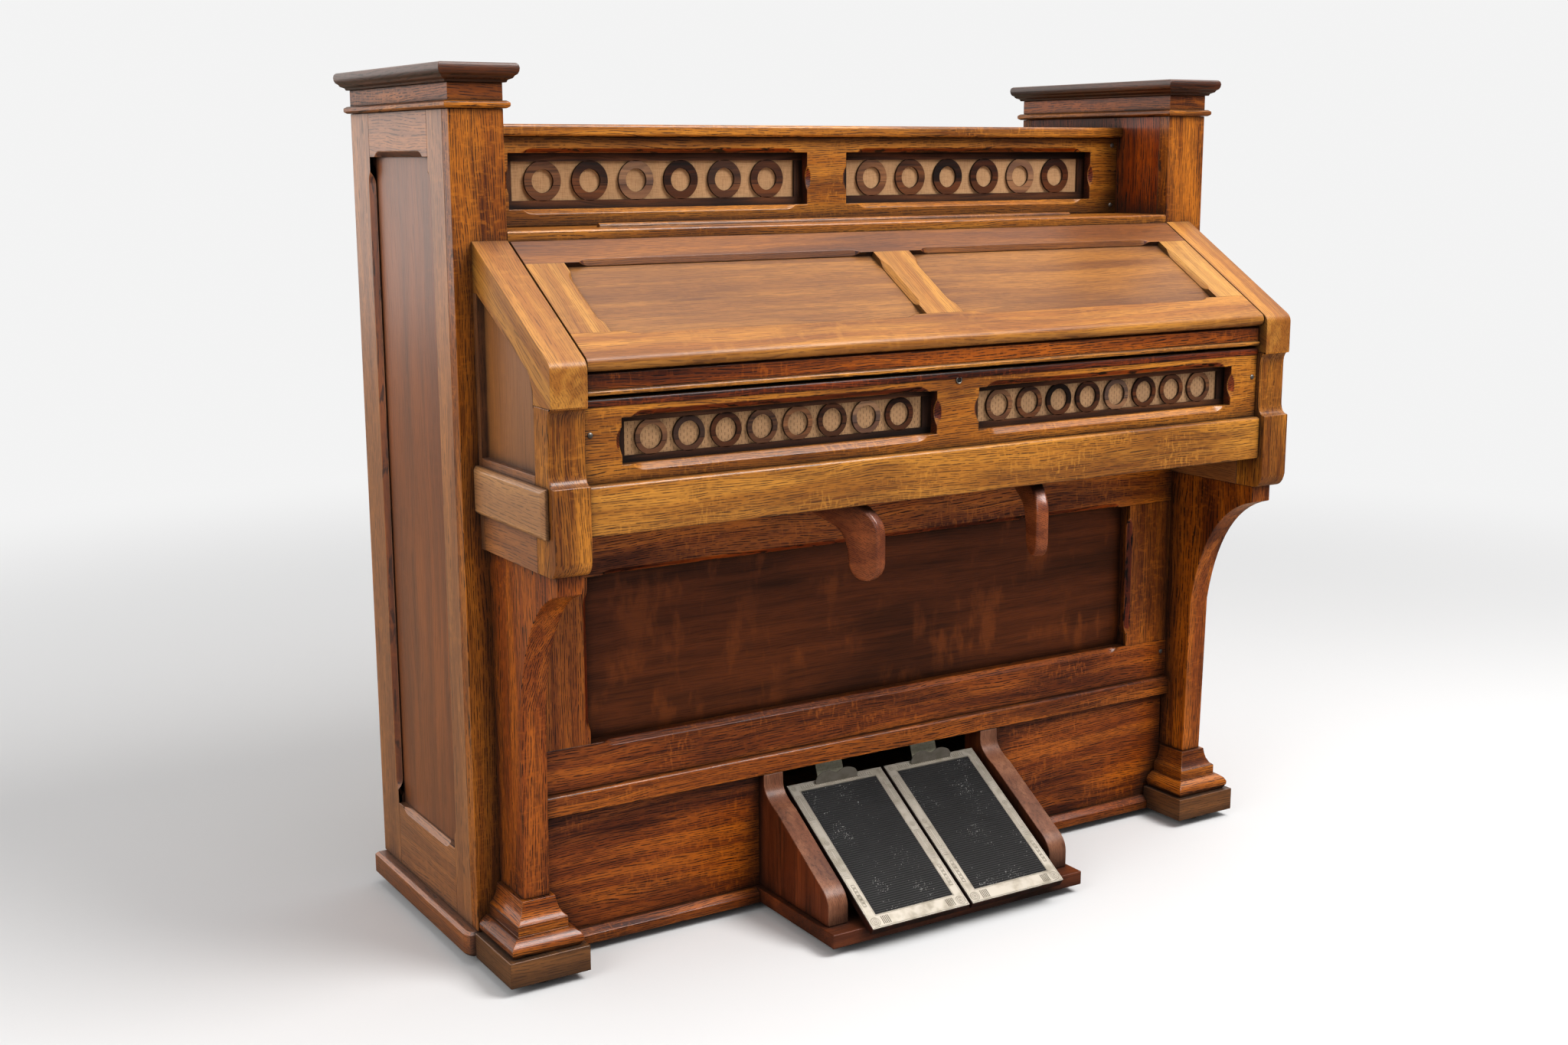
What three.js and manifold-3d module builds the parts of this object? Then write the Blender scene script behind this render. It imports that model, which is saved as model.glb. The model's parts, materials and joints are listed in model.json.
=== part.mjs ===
// Pump organ with a pierced front, a sloping lid and two foot treadles.
// Millimetres, +Z up, the player sits on the -Y side. Heights are above the floor and
// depths run back from the front of the two end towers, until the last group centres the model.
import * as THREE from 'three';
import { mergeVertices } from 'three/addons/utils/BufferGeometryUtils.js';
import Module from 'manifold-3d';

const wasm = await Module();
wasm.setup();

// Fits
const clearance = 0.3;
const overrun = 4;
const bite = 0.2;

// Case, its two end towers and the base
const caseWidth = 1186;
const caseDepth = 338;
const caseTop = 1085;
const towerWidth = 69;
const postThickness = 20;
const returnThickness = 16;
const rearStileDepth = 20;
const sideThickness = 22;
const sideStileFront = 70;
const sideStileBack = 66;
const sideRailBottom = 88;
const sideRailTop = 85;
const sidePanelSink = 9;
const sideChamfer = 7;
const chamferStop = 18;
const chamferRound = 16;
const fullestRound = 0.9;
const glideHeight = 12;
const glideRadius = 14;
const glideInset = 34;
const baseThickness = 33;
const baseOverhang = 15;
const baseEdge = 4;
const baseReturnDepth = 14;
const baseReturnWidth = 13;

// Cap, frieze and bead on each tower
const capHeight = 22;
const capOverhang = 16;
const beadHeight = 9;
const beadProud = 7;
const friezeHeight = 20.5;

// Back, shelf, upper fret and music ledge
const backThickness = 12;
const backRail = 70;
const backPanelSink = 5;
const shelfDrop = 45;
const shelfThickness = 15;
const shelfFront = 99.5;
const shelfNose = 5;
const upperFretFront = 112;
const upperFrameThickness = 14;
const upperWindowInner = 32;
const upperFrameStile = 51.7;
const upperRailBottom = 21.5;
const upperRailTop = 20.5;
const upperChamfer = 6;
const upperFretStile = 11;
const upperRingCount = 6;
const upperRingEnd = 54;
const upperRingRadius = 28;
const upperRingHole = 14.6;
const fretThickness = 6;
const clothThickness = 1.6;
const fretLap = 12;
const ringLap = 1.1;
const ringSegmentCount = 18;
const ledgeRise = 10.5;
const ledgeThickness = 13.8;
const ledgeNose = 4;
const ledgeBack = 150;
const stripInset = 144;
const stripWidth = 9;
const stripHeight = 5;
const stripFront = 46;

// Key cheeks at the two ends of the keyboard
const cheekThickness = 46;
const lidLineTop = 903;
const lidSlopeRise = 0.603;
const cheekFront = 210;
const cheekNose = 8;
const cheekBlockBottom = 726;
const cheekNeckSet = 9.5;
const cheekCoveDrop = 17;
const cheekNeckBottom = 656;
const cheekKneeTop = 638;
const cheekKneeBottom = 553;
const cheekKneeProud = 3;
const cheekBottom = 534.5;
const cheekUndercut = 16;
const cheekWindowSink = 9;
const cheekWindowRail = 55;
const cheekWindowStile = 47;
const cheekWindowShoulder = 75;
const cheekWindowTurn = 26;
const cheekWindowSill = 647;
const cheekWindowRear = 10;
const bandBottom = 579;
const bandTop = 637;
const bandProud = 9;
const bandEdge = 4;
const bandFrontGap = 11;

// Front brackets that run down as legs, and their moulded feet
const legThickness = 34;
const legInset = 32;
const bracketReach = 194;
const bracketLip = 23;
const archHeight = 167;
const legDepthTop = 79;
const legDepthFoot = 74;
const footTop = 106.6;
const footRim = 5;
const footCoveBottom = 81;
const footBlockBottom = 67;
const footBlockProud = 16.5;
const footTorusProud = 31;
const footTorusNeck = 27;
const footPlinthTop = 45;
const footPlinthProud = 36.5;

// Lid with two sunk panels and a hanging front board
const lidThickness = 19;
const lidLength = 240.6;
const lidSideGap = 2;
const lidRearGap = 3;
const lidPivotInset = 25;
const lidRail = 47;
const lidPanelRun = 140;
const lidStile = 50.5;
const lidMuntin = 57;
const lidPanelSink = 7;
const lidChamfer = 6;
const lidPinRadius = 4;
const lidPinLength = 12;
const lidPinPlay = 0.4;
const lidBoardThickness = 12;
const lidBoardFront = 197;
const lidBoardGap = 7;
const lidBeadRadius = 3;

// Front fret board below the lid, and the key bed with its beam
const frontFretFront = 194;
const frontFrameThickness = 14;
const frontFrameTop = 733;
const frontWindowInner = 33;
const frontFrameStile = 48.7;
const frontRailBottom = 19.1;
const frontRailTop = 23.2;
const frontChamfer = 7.5;
const frontFretStile = 11;
const frontRingCount = 8;
const frontRingEnd = 46;
const frontRingRadius = 22.2;
const frontRingHole = 14.6;
const frontFretLap = 6;
const keyBedBottom = 577.4;
const keyBedThickness = 22.6;
const keyBedBack = 200;
const beamFront = 205;
const beamThickness = 31;
const beamTop = 636.2;
const beamNose = 6;
const keyholeDrop = 9;
const keyholeThickness = 1.2;
const keyholeRadius = 4.4;
const keyholeSkirt = 9;
const keyholeSkirtWidth = 5;
const keySlotRadius = 1.8;

// Keyboard: five octaves from F, with the five notes from middle C to E as separate keys
const keyBlockLeast = 98;
const naturalPitch = 23.6;
const keyGap = 0.8;
const keyTop = 727;
const keyThickness = 20;
const keyFront = 168;
const keyBack = 125;
const keyHeadLength = 50;
const sharpWidth = 11;
const sharpRise = 12;
const sharpLength = 88;
const sharpFrontSlope = 4;
const sharpFrontGap = 2;
const sharpShift = 2.4;
const balancePlace = 15;
const balanceRidge = 8;
const keyRailWidth = 28;
const keyBoardThickness = 6;
const keyFrameDrop = 37;
const keyBlockRise = 18;
const keyBlockProud = 3;
const fixedNaturalCount = 18;
const movingNaturalCount = 3;

// Stop board and draw stops
const stopBoardFront = 30;
const stopBoardThickness = 15;
const stopBoardGap = 1;
const stopBoardHeight = 100;
const stopCount = 5;
const stopPitch = 118;
const stopRise = 44;
const stopStemRadius = 5;
const stopStemPlay = 0.5;
const stopStemTail = 32;
const stopKnobRadius = 13;
const stopKnobLength = 22;
const stopKnobGap = 6;

// Reed chest, swell shutter and bellows
const chestProud = 15;
const chestFront = 118;
const chestBack = 150;
const shutterThickness = 7;
const shutterBottom = 618;
const shutterTop = 682;
const shutterInset = 25;
const reservoirWidth = 620;
const reservoirFront = 46;
const reservoirGap = 10;
const bellowsBoardTop = 448;
const bellowsBoardThickness = 18;
const bellowsBoardFront = 12;
const reservoirFrontDrop = 40;
const hingeRailDepth = 16;
const exhausterThickness = 12;
const exhausterFront = 18;
const exhausterInset = 16;
const exhausterHeight = 416;
const exhausterWidth = 290;
const exhausterGap = 20;

// Knee frame, knee panel, ledge and lower board
const kneeFrameFront = 30;
const kneeFrameThickness = 20;
const kneeFrameStile = 81.7;
const kneeRailBottom = 57;
const kneeRailTop = 88.4;
const kneeChamfer = 7;
const kneePanelThickness = 8;
const kneePanelLap = 14;
const lowerLedgeFront = 38;
const lowerLedgeBottom = 190;
const lowerLedgeTop = 217;
const lowerLedgeNose = 7;
const lowerBoardDepth = 25.7;
const lowerBoardThickness = 12;
const skirtingTop = 31;
const skirtingShoulder = 24;
const skirtingProud = 14;
const skirtingLip = 9;

// Knee levers
const kneeLeverPlace = 165.6;
const kneeLeverBack = 115.6;
const kneeLeverToeDegrees = 21.7;
const kneeLeverThickness = 18;
const kneeLeverEdge = 4;
const kneeLeverReach = 80;
const paddleWidth = 47;
const paddleDrop = 99;
const kneeArmTail = 13;
const kneeArmThickness = 15;
const kneePinRadius = 4;
const kneePinLength = 12;
const kneePinPlay = 0.4;

// Pedal box and treadles
const pedalFloorHalf = 204;
const pedalFloorFront = 220;
const pedalFloorTop = 31;
const pedalFloorBottom = 12;
const pedalCheekInner = 166;
const pedalCheekOuter = 196.5;
const pedalCheekFront = 196;
const pedalNoseHeight = 60;
const pedalNoseRound = 24;
const pedalSlopeTopDepth = 70;
const pedalSlopeTopHeight = 148;
const pedalNeckDepth = 38;
const pedalNeckRound = 25;
const treadleInner = 3;
const treadleWidth = 153;
const treadleLength = 244.8;
const treadleSlopeDegrees = 31.9;
const treadleHeel = 10.8;
const treadlePivotDepth = 223.5;
const treadlePivotHeight = 31.5;
const treadleBoardThickness = 9;
const hingeBarrelRadius = 3;
const bindingThickness = 2;
const bindingSide = 15;
const bindingToe = 13;
const bindingHeel = 20;
const matThickness = 3;
const matRibCount = 36;
const matRibDepth = 1.2;
const matPlay = 0.6;
const clipWidth = 67.6;
const clipHeight = 16;
const clipThickness = 1.6;
const clipInset = 6;
const strapWidth = 42;
const strapThickness = 2;
const strapRise = 260.5;
const strapLeanDegrees = 20.5;
const strapPinHeight = 1.5;

// Shares of the size that each place follows
const capShares = [[0.25, 0], [0.3, 0.12], [0.62, 0.22], [0.7, 0.34], [0.88, 0.42], [0.97, 0.58],
  [1, 0.74], [0.94, 0.92], [0.8, 1]];
const torusShares = [[0.9, 0.05], [1, 0.3], [1, 0.52], [0.9, 0.76], [0.66, 1]];
const coveShares = [[1, 0], [0.62, 0.12], [0.3, 0.38], [0.1, 0.7], [0, 1]];
const clipWaveShares = [[-0.5, 0.3], [-0.42, 0.78], [-0.2, 1], [0, 0.72], [0.2, 1], [0.42, 0.78], [0.5, 0.3]];

// Places worked out from the sizes above
const towerOuter = caseWidth / 2;
const towerInner = towerOuter - towerWidth;
const innerHalf = towerInner - clearance;
const baseTop = glideHeight + baseThickness;
const caseBottom = baseTop + clearance;
const upperWindowOuter = innerHalf - upperFrameStile;
const upperRingPitch = (upperWindowOuter - upperWindowInner - upperRingEnd * 2) / (upperRingCount - 1);
const sidePanelBottom = baseTop + sideRailBottom;
const sidePanelTop = caseTop - sideRailTop;
const shelfTop = caseTop - shelfDrop;
const ledgeTop = lidLineTop + ledgeRise;
const upperWindowBottom = ledgeTop + upperRailBottom;
const upperWindowTop = shelfTop - shelfThickness - upperRailTop;
const upperFretRail = (upperWindowTop - upperWindowBottom) / 2 - upperRingRadius + ringLap;
const frontWindowOuter = innerHalf - frontFrameStile;
const frontRingPitch = (frontWindowOuter - frontWindowInner - frontRingEnd * 2) / (frontRingCount - 1);
const frontWindowBottom = beamTop + frontRailBottom;
const frontWindowTop = frontFrameTop - frontRailTop;
const frontFretRail = (frontWindowTop - frontWindowBottom) / 2 - frontRingRadius + ringLap;
const lidBoardBottom = frontFrameTop + lidBoardGap;
const keyFrameBottom = keyTop - keyFrameDrop;
const keyBlockTop = keyTop + keyBlockRise;
const stopBoardBottom = keyBlockTop + stopBoardGap;
const stopBoardTop = stopBoardBottom + stopBoardHeight;
const stopHeight = stopBoardBottom + stopRise;
const kneeWindowBottom = lowerLedgeTop + kneeRailBottom;
const kneeWindowTop = keyBedBottom - kneeRailTop;
const lastMovingNatural = fixedNaturalCount + movingNaturalCount - 1;
const naturalCount = Math.floor((innerHalf - keyBlockLeast) * 2 / naturalPitch);
const keyboardHalf = naturalCount * naturalPitch / 2;
const reservoirBack = caseDepth - backThickness - reservoirGap;
const exhausterBack = reservoirBack - exhausterInset;
const beadTop = caseTop - friezeHeight;
const towerTop = beadTop - beadHeight - clearance;
const legOuter = towerOuter - legInset;
const legInner = legOuter - legThickness;
const legCentre = (legOuter + legInner) / 2;
const kneeWindowHalf = legInner - clearance - kneeFrameStile;
const lidSlopeAngle = Math.atan(lidSlopeRise);
const lidPivotY = -lidRearGap - lidPivotInset * Math.cos(lidSlopeAngle) + lidThickness / 2 * Math.sin(lidSlopeAngle);
const lidRearTop = lidLineTop - lidRearGap * lidSlopeRise;
const lidPivotZ = lidRearTop - lidPivotInset * Math.sin(lidSlopeAngle) - lidThickness / 2 * Math.cos(lidSlopeAngle);
const keyBottom = keyTop - keyThickness;
const treadleSlopeAngle = THREE.MathUtils.degToRad(treadleSlopeDegrees);
const treadleFrontReach = treadlePivotDepth + treadleHeel * Math.cos(treadleSlopeAngle)
  + (treadleBoardThickness + clearance + bindingThickness) * Math.sin(treadleSlopeAngle);
const caseBack = caseDepth + capOverhang;

// Materials
function finish(color, roughness, metalness = 0) {
  return new THREE.MeshStandardMaterial({ color, roughness, metalness });
}
const oak = finish(0x9a5a24, 0.42);
const darkOak = finish(0x5a3019, 0.4);
const rosewood = finish(0x43220f, 0.45);
const linen = finish(0xb59a6c, 0.9);
const pine = finish(0xb98d58, 0.7);
const ebony = finish(0x17120f, 0.35);
const ivory = finish(0xe9e0c8, 0.35);
const brass = finish(0xb08d43, 0.35, 1);
const nickel = finish(0xb3aea0, 0.38, 1);
const rubber = finish(0x1d1c1e, 0.7);
const webbing = finish(0xa59f86, 0.9);

// A closed mesh as a solid that can be joined and cut
function toSolid(geometry) {
  const bare = geometry.clone();
  bare.deleteAttribute('normal');
  bare.deleteAttribute('uv');
  const merged = mergeVertices(bare);
  return new wasm.Manifold(new wasm.Mesh({
    numProp: 3,
    vertProperties: new Float32Array(merged.attributes.position.array),
    triVerts: new Uint32Array(merged.index.array),
  }));
}

function toGeometry(solid) {
  const mesh = solid.getMesh();
  const geometry = new THREE.BufferGeometry();
  geometry.setAttribute('position', new THREE.BufferAttribute(mesh.vertProperties, 3));
  geometry.setIndex(new THREE.BufferAttribute(mesh.triVerts, 1));
  geometry.computeVertexNormals();
  return geometry;
}

function join(geometries) {
  return toGeometry(geometries.map(toSolid).reduce((whole, piece) => whole.add(piece)));
}

function cut(geometry, tools) {
  return toGeometry(tools.map(toSolid).reduce((whole, tool) => whole.subtract(tool), toSolid(geometry)));
}

// A box between two corners
function block([x0, x1], [y0, y1], [z0, z1]) {
  const geometry = new THREE.BoxGeometry(x1 - x0, y1 - y0, z1 - z0);
  return geometry.translate((x0 + x1) / 2, (y0 + y1) / 2, (z0 + z1) / 2);
}

function outline(points) {
  return new THREE.Shape(points.map(([u, v]) => new THREE.Vector2(u, v)));
}

function extrude(shape, depth, options = {}) {
  return new THREE.ExtrudeGeometry(shape, { depth, bevelEnabled: false, curveSegments: 6, ...options });
}

// A profile drawn in depth and height, run across the organ from x0 to x1
function runAcross(shape, x0, x1, options) {
  const axes = new THREE.Matrix4().makeBasis(
    new THREE.Vector3(0, 1, 0), new THREE.Vector3(0, 0, 1), new THREE.Vector3(1, 0, 0));
  return extrude(shape, x1 - x0, options).applyMatrix4(axes).translate(x0, 0, 0);
}

// A shape drawn in width and height, with its face at y = front and its thickness behind
function frontPlate(shape, front, thickness, options) {
  return extrude(shape, thickness, options).rotateX(Math.PI / 2).translate(0, front + thickness, 0);
}

function cylinderAlong(axis, radius, length, segments = 16) {
  const geometry = new THREE.CylinderGeometry(radius, radius, length, segments);
  if (axis === 'x') return geometry.rotateZ(Math.PI / 2);
  if (axis === 'z') return geometry.rotateX(Math.PI / 2);
  return geometry;
}

// The same piece on the other side of the organ
function mirrored(geometry) {
  const flipped = geometry.index ? geometry.toNonIndexed() : geometry.clone();
  flipped.scale(-1, 1, 1);
  const { array } = flipped.attributes.position;
  const step = flipped.attributes.position.itemSize;
  for (let corner = 0; corner < array.length; corner += step * 3) {
    for (let k = 0; k < step; k += 1) {
      [array[corner + step + k], array[corner + step * 2 + k]] = [array[corner + step * 2 + k], array[corner + step + k]];
    }
  }
  flipped.deleteAttribute('normal');
  flipped.deleteAttribute('uv');
  flipped.computeVertexNormals();
  return flipped;
}

function roundedRectangle(halfWidth, halfHeight, radius) {
  const shape = new THREE.Shape();
  const r = Math.min(radius, halfWidth * fullestRound, halfHeight * fullestRound);
  shape.moveTo(-halfWidth + r, -halfHeight);
  shape.lineTo(halfWidth - r, -halfHeight);
  shape.absarc(halfWidth - r, -halfHeight + r, r, -Math.PI / 2, 0, false);
  shape.lineTo(halfWidth, halfHeight - r);
  shape.absarc(halfWidth - r, halfHeight - r, r, 0, Math.PI / 2, false);
  shape.lineTo(-halfWidth + r, halfHeight);
  shape.absarc(-halfWidth + r, halfHeight - r, r, Math.PI / 2, Math.PI, false);
  shape.lineTo(-halfWidth, -halfHeight + r);
  shape.absarc(-halfWidth + r, -halfHeight + r, r, Math.PI, Math.PI * 3 / 2, false);
  return shape;
}

// Cutters for a square-cornered opening whose edges carry stopped chamfers. The face is the
// plane z = 0 and looks along +z. Each pair of edges is cut by a bevelled plate with round
// corners, so the chamfer curves out before it reaches the corner.
function chamferedOpening(width, height, depth, chamfer) {
  const bevel = { bevelEnabled: true, bevelThickness: chamfer, bevelSize: chamfer, bevelSegments: 1, curveSegments: 4 };
  const stop = Math.min(chamferStop, Math.min(width, height) / 4);
  const round = Math.min(chamferRound, Math.min(width, height) / 3);
  return [
    block([-width / 2, width / 2], [-height / 2, height / 2], [-depth, overrun]),
    extrude(roundedRectangle(width / 2 - stop, height / 2, round), overrun, bevel),
    extrude(roundedRectangle(width / 2, height / 2 - stop, round), overrun, bevel),
  ];
}

function facingFront(x, y, z) {
  return new THREE.Matrix4().makeBasis(
    new THREE.Vector3(1, 0, 0), new THREE.Vector3(0, 0, 1), new THREE.Vector3(0, -1, 0)).setPosition(x, y, z);
}

function facingRight(x, y, z) {
  return new THREE.Matrix4().makeBasis(
    new THREE.Vector3(0, 1, 0), new THREE.Vector3(0, 0, 1), new THREE.Vector3(1, 0, 0)).setPosition(x, y, z);
}

function placed(geometries, matrix) {
  return geometries.map((geometry) => geometry.applyMatrix4(matrix));
}

// A rectangular block whose sides follow a list of [outset, height], from the bottom up.
// The back stays flat where backShare is 0.
function mouldedBlock([x0, x1], [y0, y1], levels, backShare = 1) {
  const positions = [];
  const index = [];
  for (const [outset, z] of levels) {
    positions.push(x0 - outset, y0 - outset, z, x1 + outset, y0 - outset, z);
    positions.push(x1 + outset, y1 + outset * backShare, z, x0 - outset, y1 + outset * backShare, z);
  }
  const corners = 4;
  for (let level = 0; level + 1 < levels.length; level += 1) {
    for (let corner = 0; corner < corners; corner += 1) {
      const a = level * corners + corner;
      const b = level * corners + (corner + 1) % corners;
      index.push(a, b, b + corners, a, b + corners, a + corners);
    }
  }
  const top = (levels.length - 1) * corners;
  index.push(0, 2, 1, 0, 3, 2, top, top + 1, top + 2, top, top + 2, top + 3);
  const geometry = new THREE.BufferGeometry();
  geometry.setAttribute('position', new THREE.Float32BufferAttribute(positions, 3));
  geometry.setIndex(index);
  return geometry;
}

function piece(name, geometry, material) {
  const mesh = new THREE.Mesh(geometry, material);
  mesh.name = name;
  return mesh;
}

// The same piece for the left and the right end, drawn for the right
function pair(name, geometry, material) {
  return [piece(`${name}_right`, geometry, material), piece(`${name}_left`, mirrored(geometry), material)];
}

const organ = new THREE.Group();

// Tower sides: framed, with a sunk panel
function towerSide() {
  const front = postThickness + clearance;
  const board = block([towerOuter - sideThickness, towerOuter], [front, caseDepth], [caseBottom, towerTop]);
  const run = caseDepth - sideStileFront - sideStileBack;
  const middle = sideStileFront + run / 2;
  const height = sidePanelTop - sidePanelBottom;
  const opening = chamferedOpening(run, height, sidePanelSink, sideChamfer);
  return cut(board, placed(opening, facingRight(towerOuter, middle, sidePanelBottom + height / 2)));
}

// Front pilaster, its return inside the case and the rear stile, as one glued post
function towerPost() {
  const returnFace = towerInner + returnThickness;
  const rearInner = towerOuter - sideThickness - clearance;
  const shape = outline([
    [towerInner, 0], [towerOuter, 0], [towerOuter, postThickness], [returnFace, postThickness],
    [returnFace, caseDepth - rearStileDepth], [rearInner, caseDepth - rearStileDepth],
    [rearInner, caseDepth], [towerInner, caseDepth],
  ]);
  return extrude(shape, towerTop - caseBottom).translate(0, 0, caseBottom);
}

function towerCap() {
  const levels = [
    [0, beadTop - beadHeight], [beadProud / 2, beadTop - beadHeight], [beadProud, beadTop - beadHeight * 3 / 4],
    [beadProud, beadTop - beadHeight / 4], [beadProud / 2, beadTop], [0, beadTop], [0, caseTop],
    ...capShares.map(([out, up]) => [capOverhang * out, caseTop + capHeight * up]),
  ];
  return mouldedBlock([towerInner, towerOuter], [0, caseDepth], levels);
}

organ.add(...pair('tower_side', towerSide(), oak));
organ.add(...pair('tower_post', towerPost(), oak));
organ.add(...pair('tower_cap', towerCap(), oak));

// Base frame with moulded sides that turn in to meet the feet, and two rear glides
function baseBoard() {
  const outer = towerOuter + baseOverhang;
  const front = outer - baseReturnWidth;
  const shape = new THREE.Shape();
  shape.moveTo(-outer, caseDepth);
  shape.lineTo(-outer, baseReturnDepth);
  shape.quadraticCurveTo(-outer + baseReturnWidth / 4, 0, -front, 0);
  shape.lineTo(front, 0);
  shape.quadraticCurveTo(outer - baseReturnWidth / 4, 0, outer, baseReturnDepth);
  shape.lineTo(outer, caseDepth);
  const slab = extrude(shape, baseThickness - baseEdge * 2, {
    bevelEnabled: true, bevelThickness: baseEdge, bevelSize: baseEdge, bevelOffset: -baseEdge, bevelSegments: 1,
  }).translate(0, 0, glideHeight + baseEdge);
  const glides = [-1, 1].map((side) => cylinderAlong('z', glideRadius, glideHeight + baseEdge)
    .translate(side * (towerOuter - glideInset), caseDepth - glideInset, (glideHeight + baseEdge) / 2));
  return join([slab, ...glides]);
}
organ.add(piece('base_board', baseBoard(), oak));

// Framed back with two sunk panels
function backPanel() {
  const bottom = caseBottom;
  const top = shelfTop - shelfThickness - clearance;
  const board = block([-innerHalf, innerHalf], [caseDepth - backThickness, caseDepth], [bottom, top]);
  const middle = backRail / 2;
  const sinks = [-1, 1].map((side) => block(
    [Math.min(side * middle, side * (innerHalf - backRail)), Math.max(side * middle, side * (innerHalf - backRail))],
    [caseDepth - backPanelSink, caseDepth + overrun], [bottom + backRail, top - backRail]));
  return cut(board, sinks);
}
organ.add(piece('back_panel', backPanel(), pine));

function upperShelf() {
  const bottom = shelfTop - shelfThickness;
  const shape = new THREE.Shape();
  shape.moveTo(shelfFront + shelfNose / 2, bottom);
  shape.lineTo(caseDepth, bottom);
  shape.lineTo(caseDepth, shelfTop);
  shape.lineTo(shelfFront + shelfNose, shelfTop);
  shape.quadraticCurveTo(shelfFront, shelfTop, shelfFront, shelfTop - shelfNose);
  shape.lineTo(shelfFront, bottom + shelfNose / 2);
  return runAcross(shape, -innerHalf, innerHalf);
}
organ.add(piece('upper_shelf', upperShelf(), oak));

// A framed board with two chamfered windows, the same on both sides of its muntin
function windowFrame(front, thickness, bottom, top, inner, outer, windowBottom, windowTop, chamfer) {
  const board = block([-innerHalf, innerHalf], [front, front + thickness], [bottom, top]);
  const height = windowTop - windowBottom;
  const tools = [-1, 1].flatMap((side) => placed(
    chamferedOpening(outer - inner, height, thickness + overrun, chamfer),
    facingFront(side * (inner + outer) / 2, front, windowBottom + height / 2)));
  return cut(board, tools);
}

// Pierced board behind both windows: each has a row of rings between two rails
function fretBoard(front, inner, outer, windowBottom, windowTop, rail, stile, lap, ring) {
  const board = block([-outer - lap, outer + lap], [front, front + fretThickness], [windowBottom - lap, windowTop + lap]);
  const middleZ = (windowBottom + windowTop) / 2;
  const depthRange = [front - overrun, front + fretThickness + overrun];
  const windows = [];
  const rings = [];
  const holes = [];
  for (const side of [-1, 1]) {
    const centre = side * (inner + outer) / 2;
    const half = (outer - inner) / 2 - stile;
    windows.push(block([centre - half, centre + half], depthRange, [windowBottom + rail, windowTop - rail]));
    for (let k = 0; k < ring.count; k += 1) {
      const x = centre + (k - (ring.count - 1) / 2) * ring.pitch;
      const y = front + fretThickness / 2;
      rings.push(cylinderAlong('y', ring.radius, fretThickness, ringSegmentCount).translate(x, y, middleZ));
      holes.push(cylinderAlong('y', ring.hole, fretThickness + overrun, ringSegmentCount).translate(x, y, middleZ));
    }
  }
  return cut(join([cut(board, windows), ...rings]), holes);
}

function clothBoard(front, outer, windowBottom, windowTop, lap) {
  return block([-outer - lap, outer + lap], [front, front + clothThickness], [windowBottom - lap, windowTop + lap]);
}

const upperFretBack = upperFretFront + upperFrameThickness + clearance;
const upperRing = { count: upperRingCount, pitch: upperRingPitch, radius: upperRingRadius, hole: upperRingHole };
organ.add(piece('upper_fret_frame', windowFrame(
  upperFretFront, upperFrameThickness, ledgeTop + clearance, shelfTop - shelfThickness - clearance,
  upperWindowInner, upperWindowOuter, upperWindowBottom, upperWindowTop, upperChamfer), oak));
organ.add(piece('upper_fret', fretBoard(
  upperFretBack, upperWindowInner, upperWindowOuter, upperWindowBottom, upperWindowTop,
  upperFretRail, upperFretStile, fretLap, upperRing), rosewood));
organ.add(piece('upper_fret_cloth', clothBoard(
  upperFretBack + fretThickness + clearance, upperWindowOuter, upperWindowBottom, upperWindowTop, fretLap), linen));

// Music ledge with a half-round strip that stops the music sliding off
function musicLedge() {
  const bottom = ledgeTop - ledgeThickness;
  const shape = new THREE.Shape();
  shape.moveTo(0, bottom);
  shape.lineTo(ledgeBack, bottom);
  shape.lineTo(ledgeBack, ledgeTop);
  shape.lineTo(ledgeNose, ledgeTop);
  shape.quadraticCurveTo(0, ledgeTop, 0, ledgeTop - ledgeNose);
  const board = runAcross(shape, -innerHalf, innerHalf);
  const bead = new THREE.Shape();
  bead.moveTo(stripFront, ledgeTop - bite);
  bead.lineTo(stripFront + stripWidth, ledgeTop - bite);
  bead.absellipse(stripFront + stripWidth / 2, ledgeTop, stripWidth / 2, stripHeight, 0, Math.PI, false);
  return join([board, runAcross(bead, stripInset - innerHalf, innerHalf - stripInset)]);
}
organ.add(piece('music_ledge', musicLedge(), oak));

// Height of the lid's top line at a depth in front of the towers
function lidLine(depth) {
  return lidLineTop - depth * lidSlopeRise;
}

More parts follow.
